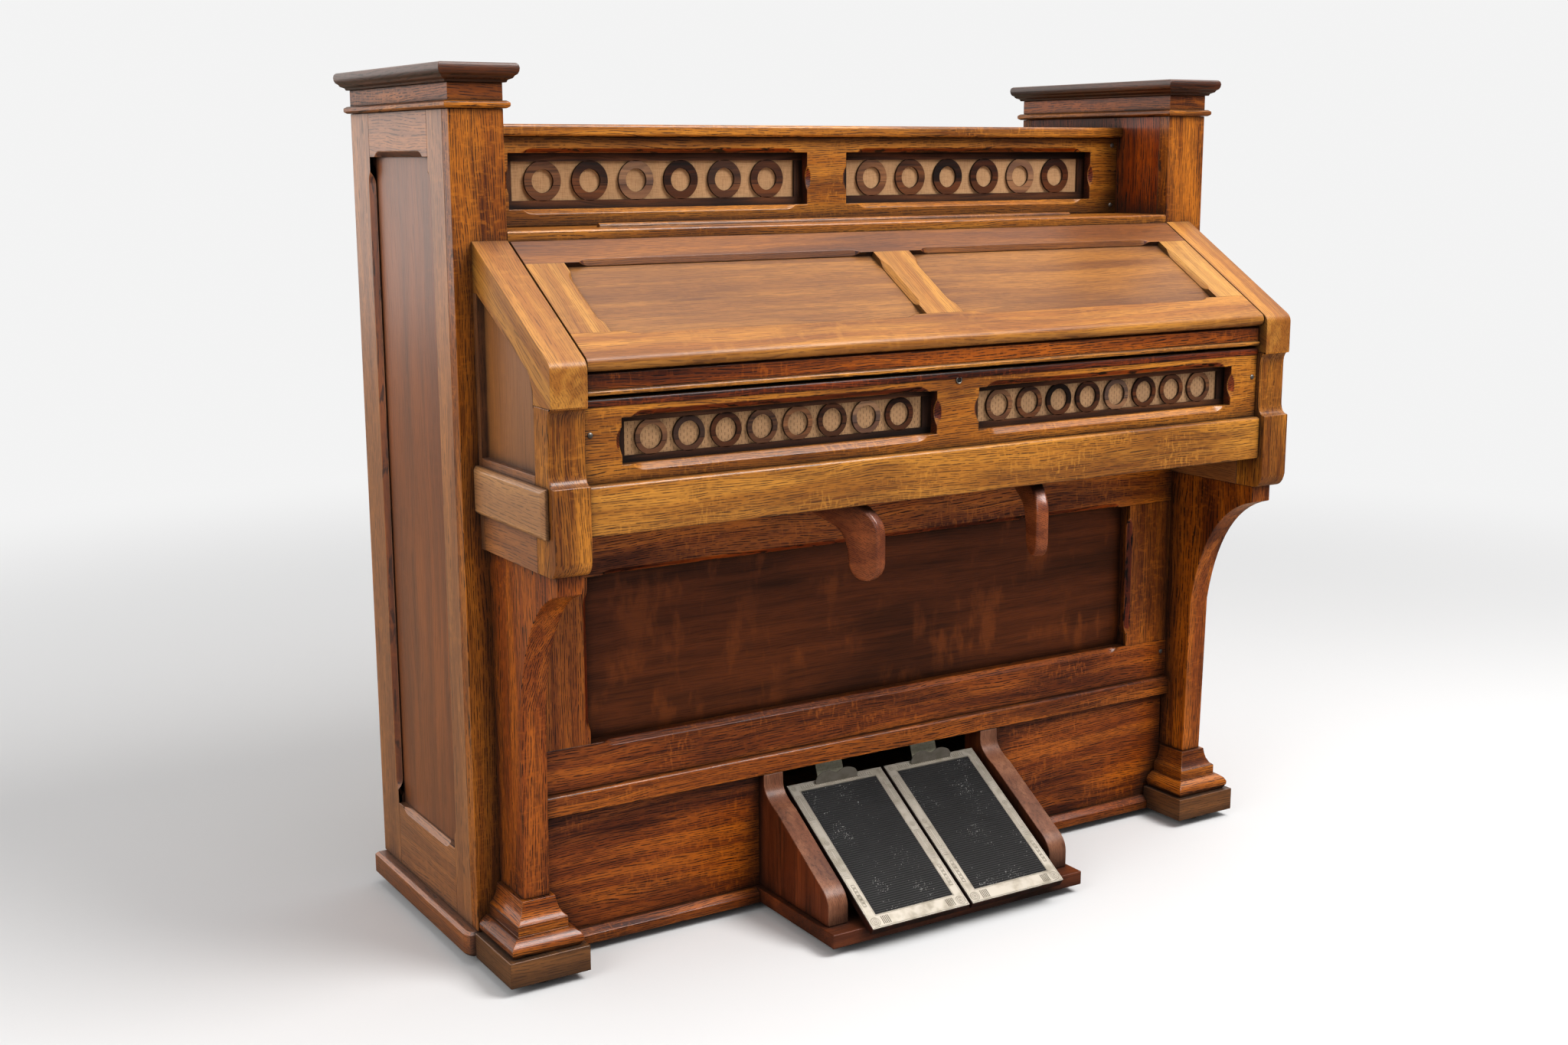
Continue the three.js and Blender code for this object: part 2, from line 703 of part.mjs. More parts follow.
// Key cheek: scrolled front block, sunk panel and an outer band, with a hole for the lid's pin
function cheek() {
  const inner = towerInner;
  const outer = towerInner + cheekThickness;
  const neck = -cheekFront + cheekNeckSet;
  const knee = -cheekFront - cheekKneeProud;
  const rear = -clearance;
  const shape = new THREE.Shape();
  shape.moveTo(rear, cheekBottom);
  shape.lineTo(rear, lidLine(clearance));
  shape.lineTo(-cheekFront + cheekNose, lidLine(cheekFront - cheekNose));
  shape.quadraticCurveTo(-cheekFront, lidLine(cheekFront), -cheekFront, lidLine(cheekFront) - cheekNose);
  shape.lineTo(-cheekFront, cheekBlockBottom);
  shape.quadraticCurveTo(neck, cheekBlockBottom, neck, cheekBlockBottom - cheekCoveDrop);
  shape.lineTo(neck, cheekNeckBottom);
  shape.quadraticCurveTo(neck, cheekKneeTop, knee, cheekKneeTop);
  shape.lineTo(knee, cheekKneeBottom);
  shape.quadraticCurveTo(knee + cheekUndercut / 4, cheekBottom, knee + cheekUndercut, cheekBottom);
  const body = runAcross(shape, inner, outer);
  const windowFront = -cheekFront + cheekWindowStile;
  const window = new THREE.Shape();
  window.moveTo(-cheekWindowRear, cheekWindowSill);
  window.lineTo(-cheekWindowRear, lidLine(cheekWindowRear) - cheekWindowRail);
  window.lineTo(-cheekWindowShoulder * 2, lidLine(cheekWindowShoulder * 2) - cheekWindowRail + cheekNose);
  window.quadraticCurveTo(windowFront, lidLine(-windowFront) - cheekWindowRail, windowFront,
    lidLine(-windowFront) - cheekWindowRail - cheekWindowTurn);
  window.lineTo(windowFront, cheekWindowSill);
  const sink = runAcross(window, outer - cheekWindowSink, outer + overrun);
  const pinHole = cylinderAlong('x', lidPinRadius + lidPinPlay, (lidPinLength + overrun) * 2)
    .translate(inner, lidPivotY, lidPivotZ);
  const bandShape = outline([
    [-clearance - bandEdge, bandBottom + bandEdge], [-clearance - bandEdge, bandTop - bandEdge],
    [-cheekFront + bandFrontGap + bandEdge, bandTop - bandEdge], [-cheekFront + bandFrontGap + bandEdge, bandBottom + bandEdge],
  ]);
  const band = runAcross(bandShape, outer - bandEdge, outer + bandProud - bandEdge,
    { bevelEnabled: true, bevelThickness: bandEdge, bevelSize: bandEdge, bevelSegments: 1 });
  return join([cut(body, [sink, pinHole]), band]);
}
organ.add(...pair('cheek', cheek(), oak));

// Front bracket: a lip under the cheek, an arch, and a leg that tapers to the foot
function legBracket() {
  const rear = -clearance;
  const top = cheekBottom - clearance;
  const springing = top - bracketLip - archHeight;
  const shape = new THREE.Shape();
  shape.moveTo(rear, footTop + clearance);
  shape.lineTo(rear, top);
  shape.lineTo(-bracketReach, top);
  shape.lineTo(-bracketReach, top - bracketLip);
  shape.quadraticCurveTo(-legDepthTop - bracketLip, top - bracketLip * 2, -legDepthTop, springing);
  shape.lineTo(-legDepthFoot, footTop + clearance);
  return runAcross(shape, legInner, legOuter, { curveSegments: 14 });
}
organ.add(...pair('leg_bracket', legBracket(), oak));

// Moulded foot: cove, block, torus and plinth, notched at the back for the lower board
function legFoot() {
  const torusRise = footBlockBottom - footPlinthTop;
  const coveRise = footTop - footCoveBottom;
  const levels = [
    [footPlinthProud, glideHeight], [footPlinthProud, footPlinthTop], [footTorusNeck, footPlinthTop],
    ...torusShares.map(([out, up]) => [footTorusProud * out, footPlinthTop + torusRise * up]),
    [footBlockProud, footBlockBottom], [footBlockProud, footCoveBottom],
    ...coveShares.slice(1).map(([out, up]) => [footRim + (footBlockProud - footRim) * out, footCoveBottom + coveRise * up]),
  ];
  const body = mouldedBlock([legInner, legOuter], [-legDepthFoot, -clearance], levels, 0);
  const glide = cylinderAlong('z', glideRadius, glideHeight + overrun)
    .translate(legCentre, -legDepthFoot, (glideHeight + overrun) / 2);
  const notch = block([legInner - footPlinthProud - overrun, towerInner + clearance],
    [-kneeFrameFront - clearance, overrun], [glideHeight - overrun, footTop + overrun]);
  return cut(join([body, glide]), [notch]);
}
organ.add(...pair('leg_foot', legFoot(), oak));

// Key bed and its front beam
function keyBed() {
  const top = keyBedBottom + keyBedThickness;
  const shape = new THREE.Shape();
  shape.moveTo(-beamFront, keyBedBottom);
  shape.lineTo(keyBedBack, keyBedBottom);
  shape.lineTo(keyBedBack, top);
  shape.lineTo(-beamFront + beamThickness, top);
  shape.lineTo(-beamFront + beamThickness, beamTop);
  shape.lineTo(-beamFront + beamNose, beamTop);
  shape.quadraticCurveTo(-beamFront, beamTop, -beamFront, beamTop - beamNose);
  const bed = runAcross(shape, -innerHalf, innerHalf);
  const pinHoles = [-1, 1].map((side) => cylinderAlong('z', kneePinRadius + kneePinPlay, (kneePinLength + overrun) * 2)
    .translate(side * kneeLeverPlace, -kneeLeverBack, keyBedBottom));
  return cut(bed, pinHoles);
}
organ.add(piece('key_bed', keyBed(), oak));

// Front fret board on the beam, with the keyhole at the middle of its top
const frontFretBack = -frontFretFront + frontFrameThickness + clearance;
const frontRing = { count: frontRingCount, pitch: frontRingPitch, radius: frontRingRadius, hole: frontRingHole };
organ.add(piece('front_fret_frame', windowFrame(
  -frontFretFront, frontFrameThickness, beamTop + clearance, frontFrameTop,
  frontWindowInner, frontWindowOuter, frontWindowBottom, frontWindowTop, frontChamfer), oak));
organ.add(piece('front_fret', fretBoard(
  frontFretBack, frontWindowInner, frontWindowOuter, frontWindowBottom, frontWindowTop,
  frontFretRail, frontFretStile, frontFretLap, frontRing), rosewood));
organ.add(piece('front_fret_cloth', clothBoard(
  frontFretBack + fretThickness + clearance, frontWindowOuter, frontWindowBottom, frontWindowTop, frontFretLap), linen));

function escutcheon() {
  const plate = new THREE.Shape();
  plate.absarc(0, 0, keyholeRadius, -Math.PI / 4, Math.PI * 5 / 4, false);
  plate.lineTo(-keyholeSkirtWidth / 2, -keyholeSkirt);
  plate.lineTo(keyholeSkirtWidth / 2, -keyholeSkirt);
  const slot = new THREE.Path();
  slot.absarc(0, 0, keySlotRadius, 0, Math.PI * 2, false);
  plate.holes.push(slot);
  return frontPlate(plate, -frontFretFront - keyholeThickness - clearance, keyholeThickness, { curveSegments: 8 })
    .translate(0, 0, frontFrameTop - keyholeDrop);
}
organ.add(piece('keyhole_escutcheon', escutcheon(), brass));

// Lid, drawn about its pivot pins; its plane leans by the slope of the cheeks
function lidFrame() {
  const rear = lidPivotInset;
  const front = lidPivotInset - lidLength;
  const half = lidThickness / 2;
  const width = innerHalf - lidSideGap;
  const shape = new THREE.Shape();
  shape.moveTo(rear, -half);
  shape.lineTo(rear, half);
  shape.lineTo(front + half, half);
  shape.absarc(front + half, 0, half, Math.PI / 2, Math.PI * 3 / 2, false);
  const slab = runAcross(shape, -width, width);
  const panelWidth = width - lidStile - lidMuntin / 2;
  const panelMiddle = lidMuntin / 2 + panelWidth / 2;
  const sinks = [-1, 1].flatMap((side) => placed(
    chamferedOpening(panelWidth, lidPanelRun, lidPanelSink, lidChamfer),
    new THREE.Matrix4().setPosition(side * panelMiddle, rear - lidRail - lidPanelRun / 2, half)));
  const pins = [-1, 1].map((side) => cylinderAlong('x', lidPinRadius, lidPinLength * 2).translate(side * width, 0, 0));
  return join([cut(slab, sinks), ...pins]);
}

// Vertical board under the lid's nose, with a bead along its lower edge
function lidFrontBoard() {
  const front = -lidBoardFront - lidPivotY;
  const back = front + lidBoardThickness;
  const under = lidThickness / Math.cos(lidSlopeAngle) + clearance * 2;
  const bottom = lidBoardBottom - lidPivotZ;
  const shape = new THREE.Shape();
  shape.moveTo(back, bottom - lidBeadRadius);
  shape.lineTo(back, lidLine(lidBoardFront - lidBoardThickness) - under - lidPivotZ);
  shape.lineTo(front, lidLine(lidBoardFront) - under - lidPivotZ);
  shape.lineTo(front, bottom + lidBeadRadius);
  shape.absarc(front, bottom, lidBeadRadius, Math.PI / 2, Math.PI * 3 / 2, false);
  return runAcross(shape, lidSideGap - innerHalf, innerHalf - lidSideGap);
}

const lid = new THREE.Group();
lid.position.set(0, lidPivotY, lidPivotZ);
const lidMesh = piece('lid_frame', lidFrame(), oak);
lidMesh.rotation.x = lidSlopeAngle;
lid.add(lidMesh, piece('lid_front_board', lidFrontBoard(), oak));
organ.add(lid);

// Keyboard. Naturals run F to F; a sharp stands over each whole-tone gap.
const sharpAfter = [true, true, true, false, true, true, false];
const sharpLean = [-1, 0, 1, 0, -1, 1, 0];
const keyboardLeft = -keyboardHalf;

function hasSharpAfter(natural) {
  return natural >= 0 && natural < naturalCount - 1 && sharpAfter[natural % sharpAfter.length];
}

function sharpCentre(natural) {
  return keyboardLeft + (natural + 1) * naturalPitch + sharpLean[natural % sharpAfter.length] * sharpShift;
}

function naturalKey(natural, bottom) {
  const left = keyboardLeft + natural * naturalPitch + keyGap / 2;
  const right = left + naturalPitch - keyGap;
  const reach = sharpWidth / 2 + keyGap;
  const tailLeft = hasSharpAfter(natural - 1) ? sharpCentre(natural - 1) + reach : left;
  const tailRight = hasSharpAfter(natural) ? sharpCentre(natural) - reach : right;
  const shoulder = -keyFront + keyHeadLength;
  const points = [[left, -keyFront], [right, -keyFront], [right, shoulder]];
  if (tailRight < right) points.push([tailRight, shoulder]);
  points.push([tailRight, keyBack], [tailLeft, keyBack]);
  if (tailLeft > left) points.push([tailLeft, shoulder]);
  points.push([left, shoulder]);
  return extrude(outline(points), keyTop - bottom).translate(0, 0, bottom);
}

function sharpKey(natural, bottom) {
  const front = -keyFront + keyHeadLength + sharpFrontGap;
  const crown = keyTop + sharpRise;
  const shape = outline([
    [keyBack, bottom], [keyBack, keyTop], [front + sharpLength, keyTop], [front + sharpLength, crown],
    [front + sharpFrontSlope, crown], [front, keyTop], [front, bottom],
  ]);
  const centre = sharpCentre(natural);
  return runAcross(shape, centre - sharpWidth / 2, centre + sharpWidth / 2);
}

function moves(natural) {
  return natural >= fixedNaturalCount && natural <= lastMovingNatural;
}

// Key frame: a board with a balance ridge and a back rail, the end blocks, and every key that
// isn't a separate piece here
function keyFrame() {
  const railTop = keyBottom - clearance;
  const blockInner = keyboardHalf + keyGap;
  const railHalf = blockInner + bite;
  const back = keyBack + bite;
  const blockRun = [-keyFront - keyBlockProud, back + keyBlockProud];
  const ridge = [balancePlace - balanceRidge / 2, balancePlace + balanceRidge / 2];
  const parts = [
    block([-railHalf, railHalf], [-keyFront, back], [keyFrameBottom, keyFrameBottom + keyBoardThickness]),
    block([-railHalf, railHalf], ridge, [keyFrameBottom, railTop]),
    block([-railHalf, railHalf], [back - keyRailWidth, back], [keyFrameBottom, railTop]),
    block([blockInner, innerHalf], blockRun, [keyFrameBottom, keyBlockTop]),
    block([-innerHalf, -blockInner], blockRun, [keyFrameBottom, keyBlockTop]),
  ];
  for (let natural = 0; natural < naturalCount; natural += 1) {
    if (!moves(natural)) parts.push(naturalKey(natural, railTop - bite));
    const sharpMoves = moves(natural) && moves(natural + 1);
    if (hasSharpAfter(natural) && !sharpMoves) parts.push(sharpKey(natural, railTop - bite));
  }
  return join(parts);
}
organ.add(piece('key_frame', keyFrame(), ivory));

const movingNames = ['c', 'd', 'e'];
for (let natural = fixedNaturalCount; natural <= lastMovingNatural; natural += 1) {
  const name = movingNames[natural - fixedNaturalCount];
  organ.add(piece(`key_${name}`, naturalKey(natural, keyBottom), ivory));
  if (natural < lastMovingNatural) organ.add(piece(`key_${name}_sharp`, sharpKey(natural, keyBottom), ebony));
}

// Draw stops on their board above the keys
const stopPlaces = Array.from({ length: stopCount }, (_, k) => (k - (stopCount - 1) / 2) * stopPitch);

function stopBoard() {
  const board = block([-innerHalf, innerHalf], [-stopBoardFront, -stopBoardFront + stopBoardThickness],
    [stopBoardBottom, stopBoardTop]);
  const holes = stopPlaces.map((x) => cylinderAlong('y', stopStemRadius + stopStemPlay, stopBoardThickness + overrun * 2)
    .translate(x, -stopBoardFront + stopBoardThickness / 2, stopHeight));
  return cut(board, holes);
}
organ.add(piece('stop_board', stopBoard(), oak));

// Turned knob and its stem, drawn along the axis and laid down to point at the player
function drawStop() {
  const knobBack = -stopBoardFront - stopKnobGap;
  const stemEnd = -stopBoardFront + stopBoardThickness + stopStemTail;
  const knobFace = stopKnobLength / 4;
  const profile = [
    [0, knobBack - stopKnobLength], [stopKnobRadius * 3 / 4, knobBack - stopKnobLength],
    [stopKnobRadius, knobBack - stopKnobLength + knobFace], [stopKnobRadius, knobBack - stopKnobLength + knobFace * 2],
    [stopStemRadius * 3 / 2, knobBack - knobFace], [stopStemRadius, knobBack], [stopStemRadius, stemEnd], [0, stemEnd],
  ].map(([radius, along]) => new THREE.Vector2(radius, along));
  return new THREE.LatheGeometry(profile, 16);
}
stopPlaces.forEach((x, k) => {
  const stop = piece(`draw_stop_${k + 1}`, drawStop(), ebony);
  stop.position.set(x, 0, stopHeight);
  organ.add(stop);
});

// Reed chest on the key bed, and the swell shutter over its front
organ.add(piece('reed_chest', block([-keyboardHalf - chestProud, keyboardHalf + chestProud], [-chestFront, chestBack],
  [keyBedBottom + keyBedThickness + clearance, keyFrameBottom - clearance]), pine));
const shutterBack = -chestFront - clearance;
organ.add(piece('swell_shutter', block([shutterInset - keyboardHalf, keyboardHalf - shutterInset],
  [shutterBack - shutterThickness, shutterBack], [shutterBottom, shutterTop]), pine));

// Bellows board with the wedge-shaped reservoir above it and a hinge rail below
function reservoir() {
  const boardBottom = bellowsBoardTop - bellowsBoardThickness;
  const top = keyBedBottom - clearance;
  const board = block([-innerHalf, innerHalf], [bellowsBoardFront, reservoirBack], [boardBottom, bellowsBoardTop]);
  const wedge = runAcross(outline([
    [reservoirFront, bellowsBoardTop - bite], [reservoirBack, bellowsBoardTop - bite], [reservoirBack, top],
    [keyBedBack, top], [reservoirFront, top - reservoirFrontDrop],
  ]), -reservoirWidth / 2, reservoirWidth / 2);
  const railHalf = exhausterGap / 2 + exhausterWidth;
  const rail = block([-railHalf, railHalf], [exhausterBack - hingeRailDepth, exhausterBack],
    [exhausterHeight + clearance, boardBottom + bite]);
  return join([board, wedge, rail]);
}
organ.add(piece('reservoir', reservoir(), pine));

organ.add(...pair('exhauster', block([exhausterGap / 2, exhausterGap / 2 + exhausterWidth],
  [exhausterFront, exhausterBack], [exhausterHeight - exhausterThickness, exhausterHeight]), pine));

// Knee frame and the sunk panel behind it
function kneeFrame() {
  const half = legInner - clearance;
  const bottom = lowerLedgeTop + clearance;
  const shoulder = cheekBottom - clearance;
  const top = keyBedBottom - clearance;
  const board = frontPlate(outline([
    [-half, bottom], [half, bottom], [half, shoulder], [innerHalf, shoulder],
    [innerHalf, top], [-innerHalf, top], [-innerHalf, shoulder], [-half, shoulder],
  ]), -kneeFrameFront, kneeFrameThickness);
  const height = kneeWindowTop - kneeWindowBottom;
  const opening = chamferedOpening(kneeWindowHalf * 2, height, kneeFrameThickness + overrun, kneeChamfer);
  return cut(board, placed(opening, facingFront(0, -kneeFrameFront, kneeWindowBottom + height / 2)));
}
organ.add(piece('knee_frame', kneeFrame(), oak));
const kneePanelFront = -kneeFrameFront + kneeFrameThickness + clearance;
organ.add(piece('knee_panel', block(
  [-kneeWindowHalf - kneePanelLap, kneeWindowHalf + kneePanelLap], [kneePanelFront, kneePanelFront + kneePanelThickness],
  [kneeWindowBottom - kneePanelLap, kneeWindowTop + kneePanelLap]), darkOak));

// Lower board with the pedal opening, its base moulding, and the ledge planted on its top edge
function lowerBoard() {
  const half = legInner - footPlinthProud - clearance;
  const front = -lowerBoardDepth;
  const board = block([-innerHalf, innerHalf], [front, front + lowerBoardThickness], [glideHeight, lowerLedgeTop]);
  const mouldingFront = front - skirtingProud;
  const shape = outline([
    [front + bite, glideHeight], [front + bite, skirtingTop], [mouldingFront + skirtingLip, skirtingTop],
    [mouldingFront, skirtingShoulder], [mouldingFront, glideHeight],
  ]);
  const depthRange = [mouldingFront - overrun, front + lowerBoardThickness + overrun];
  const openingHalf = pedalCheekOuter + clearance;
  const slotHalf = pedalFloorHalf + clearance;
  const opening = block([-openingHalf, openingHalf], depthRange, [0, lowerLedgeBottom + clearance]);
  const slot = block([-slotHalf, slotHalf], depthRange, [0, pedalFloorTop + clearance]);
  return cut(join([board, runAcross(shape, -half, half)]), [opening, slot]);
}
organ.add(piece('lower_board', lowerBoard(), oak));

function lowerLedge() {
  const back = -lowerBoardDepth - clearance;
  const shape = new THREE.Shape();
  shape.moveTo(back, lowerLedgeBottom);
  shape.lineTo(back, lowerLedgeTop);
  shape.lineTo(-lowerLedgeFront + lowerLedgeNose, lowerLedgeTop);
  shape.quadraticCurveTo(-lowerLedgeFront, lowerLedgeTop, -lowerLedgeFront, lowerLedgeTop - lowerLedgeNose);
  shape.lineTo(-lowerLedgeFront, lowerLedgeBottom);
  return runAcross(shape, clearance - legInner, legInner - clearance);
}
organ.add(piece('lower_ledge', lowerLedge(), oak));

// Knee lever about its pivot pin: a rounded paddle at the end of an arm under the key bed
function kneeLever() {
  const half = paddleWidth / 2;
  const bottom = -paddleDrop + half;
  const front = -kneeLeverReach - half;
  const back = -kneeLeverReach + half;
  const shape = new THREE.Shape();
  shape.moveTo(kneeArmTail, 0);
  shape.lineTo(-kneeLeverReach + half / 2, 0);
  shape.quadraticCurveTo(front, -kneeArmThickness, front, -kneeArmThickness - half);
  shape.lineTo(front, bottom);
  shape.absarc(-kneeLeverReach, bottom, half, Math.PI, Math.PI * 2, false);
  shape.quadraticCurveTo(back, -kneeArmThickness - half, -kneeLeverReach / 3, -kneeArmThickness * 2);
  shape.quadraticCurveTo(0, -kneeArmThickness * 3 / 2, kneeArmTail, -kneeArmThickness);
  const body = runAcross(shape, -kneeLeverThickness / 2 + kneeLeverEdge, kneeLeverThickness / 2 - kneeLeverEdge, {
    bevelEnabled: true, bevelThickness: kneeLeverEdge, bevelSize: kneeLeverEdge, bevelOffset: -kneeLeverEdge,
    bevelSegments: 2, curveSegments: 5,
  });
  const pin = cylinderAlong('z', kneePinRadius, kneePinLength * 2);
  return join([body, pin]);
}
for (const [side, name] of [[1, 'right'], [-1, 'left']]) {
  const lever = piece(`knee_lever_${name}`, kneeLever(), oak);
  lever.position.set(side * kneeLeverPlace, -kneeLeverBack, keyBedBottom - clearance);
  lever.rotation.z = -side * THREE.MathUtils.degToRad(kneeLeverToeDegrees);
  organ.add(lever);
}

// Pedal box: a floor, and two cheeks with a hollow at the top and a round nose
organ.add(piece('pedal_floor', block([-pedalFloorHalf, pedalFloorHalf], [-pedalFloorFront, -clearance],
  [pedalFloorBottom, pedalFloorTop]), oak));

function pedalCheek() {
  const bottom = pedalFloorTop + clearance;
  const top = lowerLedgeBottom - clearance;
  const rear = -clearance * 2;
  const fall = (pedalSlopeTopHeight - pedalNoseHeight - pedalNoseRound) / (pedalCheekFront - pedalNoseRound - pedalSlopeTopDepth);
  const noseTop = pedalSlopeTopHeight - fall * (pedalCheekFront - pedalNoseRound - pedalSlopeTopDepth);
  const shape = new THREE.Shape();
  shape.moveTo(rear, bottom);
  shape.lineTo(rear, top);
  shape.lineTo(-pedalNeckDepth, top);
  shape.lineTo(-pedalNeckDepth, top - pedalNeckRound / 2);
  shape.quadraticCurveTo(-pedalNeckDepth - clearance, pedalSlopeTopHeight + pedalNeckRound / 2, -pedalSlopeTopDepth, pedalSlopeTopHeight);
  shape.lineTo(-pedalCheekFront + pedalNoseRound, noseTop);
  shape.quadraticCurveTo(-pedalCheekFront, pedalNoseHeight + pedalNoseRound / 2, -pedalCheekFront, pedalNoseHeight - pedalNoseRound / 4);
  shape.lineTo(-pedalCheekFront, bottom);
  return runAcross(shape, pedalCheekInner, pedalCheekOuter, { curveSegments: 8 });
}
organ.add(...pair('pedal_cheek', pedalCheek(), oak));

// Treadle, drawn flat about its hinge with the heel at -y and the toe at +y
const treadleToe = treadleLength - treadleHeel;
const treadleHalf = treadleWidth / 2;
const matFloor = treadleBoardThickness + clearance;

function treadleBoard() {
  const board = block([-treadleHalf, treadleHalf], [-treadleHeel, treadleToe], [0, treadleBoardThickness]);
  return join([board, cylinderAlong('x', hingeBarrelRadius, treadleWidth, 12)]);
}

// Pressed binding with a window for the mat and a wavy clip that stands upright at the toe
function treadleBinding() {
  const window = [[-treadleHalf + bindingSide, treadleHalf - bindingSide], [bindingHeel - treadleHeel, treadleToe - bindingToe]];
  const plate = cut(
    block([-treadleHalf, treadleHalf], [-treadleHeel, treadleToe], [matFloor, matFloor + bindingThickness]),
    [block(...window, [matFloor - overrun, matFloor + bindingThickness + overrun])]);
  const wave = clipWaveShares.map(([across, up]) => new THREE.Vector2(clipWidth * across, clipHeight * up));
  const shape = new THREE.Shape();
  shape.moveTo(clipWidth / 2, -bindingThickness / 2);
  shape.lineTo(-clipWidth / 2, -bindingThickness / 2);
  shape.splineThru(wave);
  const clip = extrude(shape, clipThickness, { curveSegments: 3 }).rotateX(Math.PI / 2 - treadleSlopeAngle)
    .translate(0, treadleToe - clipInset, matFloor + bindingThickness);
  return join([plate, clip]);
}

// Rubber mat with ribs across its length
function treadleMat() {
  const half = treadleHalf - bindingSide - matPlay;
  const start = bindingHeel - treadleHeel + matPlay;
  const end = treadleToe - bindingToe - matPlay;
  const pitch = (end - start) / matRibCount;
  const low = matFloor + matThickness - matRibDepth;
  const points = [[end, matFloor], [end, low]];
  for (let rib = matRibCount - 1; rib >= 0; rib -= 1) {
    points.push([start + (rib + 1 / 2) * pitch, matFloor + matThickness], [start + rib * pitch, low]);
  }
  points.push([start, matFloor]);
  return runAcross(outline(points), -half, half);
}

// Strap that rises from behind the toe to the exhauster
function treadleStrap() {
  return block([-strapWidth / 2, strapWidth / 2], [-strapThickness / 2, strapThickness / 2], [0, strapRise]);
}

for (const [side, name] of [[1, 'right'], [-1, 'left']]) {
  const treadle = new THREE.Group();
  treadle.position.set(side * (treadleInner + treadleHalf), -treadlePivotDepth, treadlePivotHeight);
  treadle.rotation.x = treadleSlopeAngle;
  const strap = piece(`treadle_strap_${name}`, treadleStrap(), webbing);
  strap.position.set(0, treadleToe + clearance + strapThickness / 2, strapPinHeight);
  strap.rotation.x = -treadleSlopeAngle - THREE.MathUtils.degToRad(strapLeanDegrees);
  treadle.add(
    piece(`treadle_board_${name}`, treadleBoard(), darkOak),
    piece(`treadle_binding_${name}`, treadleBinding(), nickel),
    piece(`treadle_mat_${name}`, treadleMat(), rubber),
    strap);
  organ.add(treadle);
}

// The model stands on the floor with the middle of its plan at the origin
organ.position.y = (treadleFrontReach - caseBack) / 2;
const model = new THREE.Group();
model.add(organ);

export default model;
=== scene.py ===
"""Dress the pump organ in oak, rosewood, linen, nickel and rubber, and set up its studio.

Lengths in the classes are in millimetres: x from the middle of the organ, y from the front of
its two towers towards the back, z from the floor. They become metres where a mesh is made.
"""
from __future__ import annotations

import json
import logging
import math
import random
from dataclasses import dataclass, replace
from enum import Enum
from typing import Callable, Iterable, Sequence

import bmesh
import bpy
from mathutils import Matrix, Vector

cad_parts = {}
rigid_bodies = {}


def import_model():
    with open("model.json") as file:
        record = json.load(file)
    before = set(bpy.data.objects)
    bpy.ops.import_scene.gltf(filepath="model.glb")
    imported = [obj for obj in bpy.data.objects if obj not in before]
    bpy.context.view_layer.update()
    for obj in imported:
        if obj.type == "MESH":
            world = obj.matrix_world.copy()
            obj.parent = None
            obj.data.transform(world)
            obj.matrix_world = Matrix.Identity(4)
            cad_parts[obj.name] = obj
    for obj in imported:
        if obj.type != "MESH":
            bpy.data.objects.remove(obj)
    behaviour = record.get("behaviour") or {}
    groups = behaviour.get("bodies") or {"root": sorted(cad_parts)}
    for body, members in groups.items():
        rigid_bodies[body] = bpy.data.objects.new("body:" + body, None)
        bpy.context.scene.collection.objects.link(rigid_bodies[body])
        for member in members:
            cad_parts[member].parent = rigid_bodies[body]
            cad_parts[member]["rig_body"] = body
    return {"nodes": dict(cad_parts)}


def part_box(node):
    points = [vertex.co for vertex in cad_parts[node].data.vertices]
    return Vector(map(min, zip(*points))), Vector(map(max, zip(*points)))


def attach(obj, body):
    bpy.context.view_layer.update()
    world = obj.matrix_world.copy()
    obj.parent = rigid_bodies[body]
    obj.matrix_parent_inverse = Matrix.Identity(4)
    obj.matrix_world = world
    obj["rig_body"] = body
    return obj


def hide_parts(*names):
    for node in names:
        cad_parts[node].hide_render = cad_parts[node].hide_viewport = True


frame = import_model()

LOG = logging.getLogger("pump_organ")
MM = 0.001
DEPTH_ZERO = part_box("tower_post_left")[0].y
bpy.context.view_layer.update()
LID_SLOPE = math.atan(0.603)
TREADLE_SLOPE = math.radians(31.9)
FAR = 3000.0

Point = tuple[float, float, float]
Colour = tuple[float, ...]
Span = tuple[float, float]
Path = Sequence[tuple[float, float]]
Form = bmesh.types.BMesh
Material = bpy.types.Material
Mesh = bpy.types.Mesh
Node = bpy.types.Node
Socket = bpy.types.NodeSocket
Thing = bpy.types.Object
Tree = bpy.types.NodeTree

OPEN: Span = (-FAR, FAR)


def place(x: float, y: float, z: float) -> Vector:
    """Turn a design point in millimetres into a point of the frame in metres."""
    return Vector((x * MM, DEPTH_ZERO + y * MM, z * MM))


def linear(colour: Colour, share: float = 1.0) -> Colour:
    """Turn a screen colour from 0 to 255, times a share, into a linear one with full alpha."""
    parts = [min(255.0, part * share) / 255.0 for part in colour]
    return (*(part / 12.92 if part <= 0.04045 else ((part + 0.055) / 1.055) ** 2.4
              for part in parts), 1.0)


class Grain(Enum):
    """The way the wood of a board runs."""

    ACROSS = "across"
    DEEP = "deep"
    UPRIGHT = "upright"
    LID = "lid"
    TREADLE = "treadle"
    WRAP = "wrap"


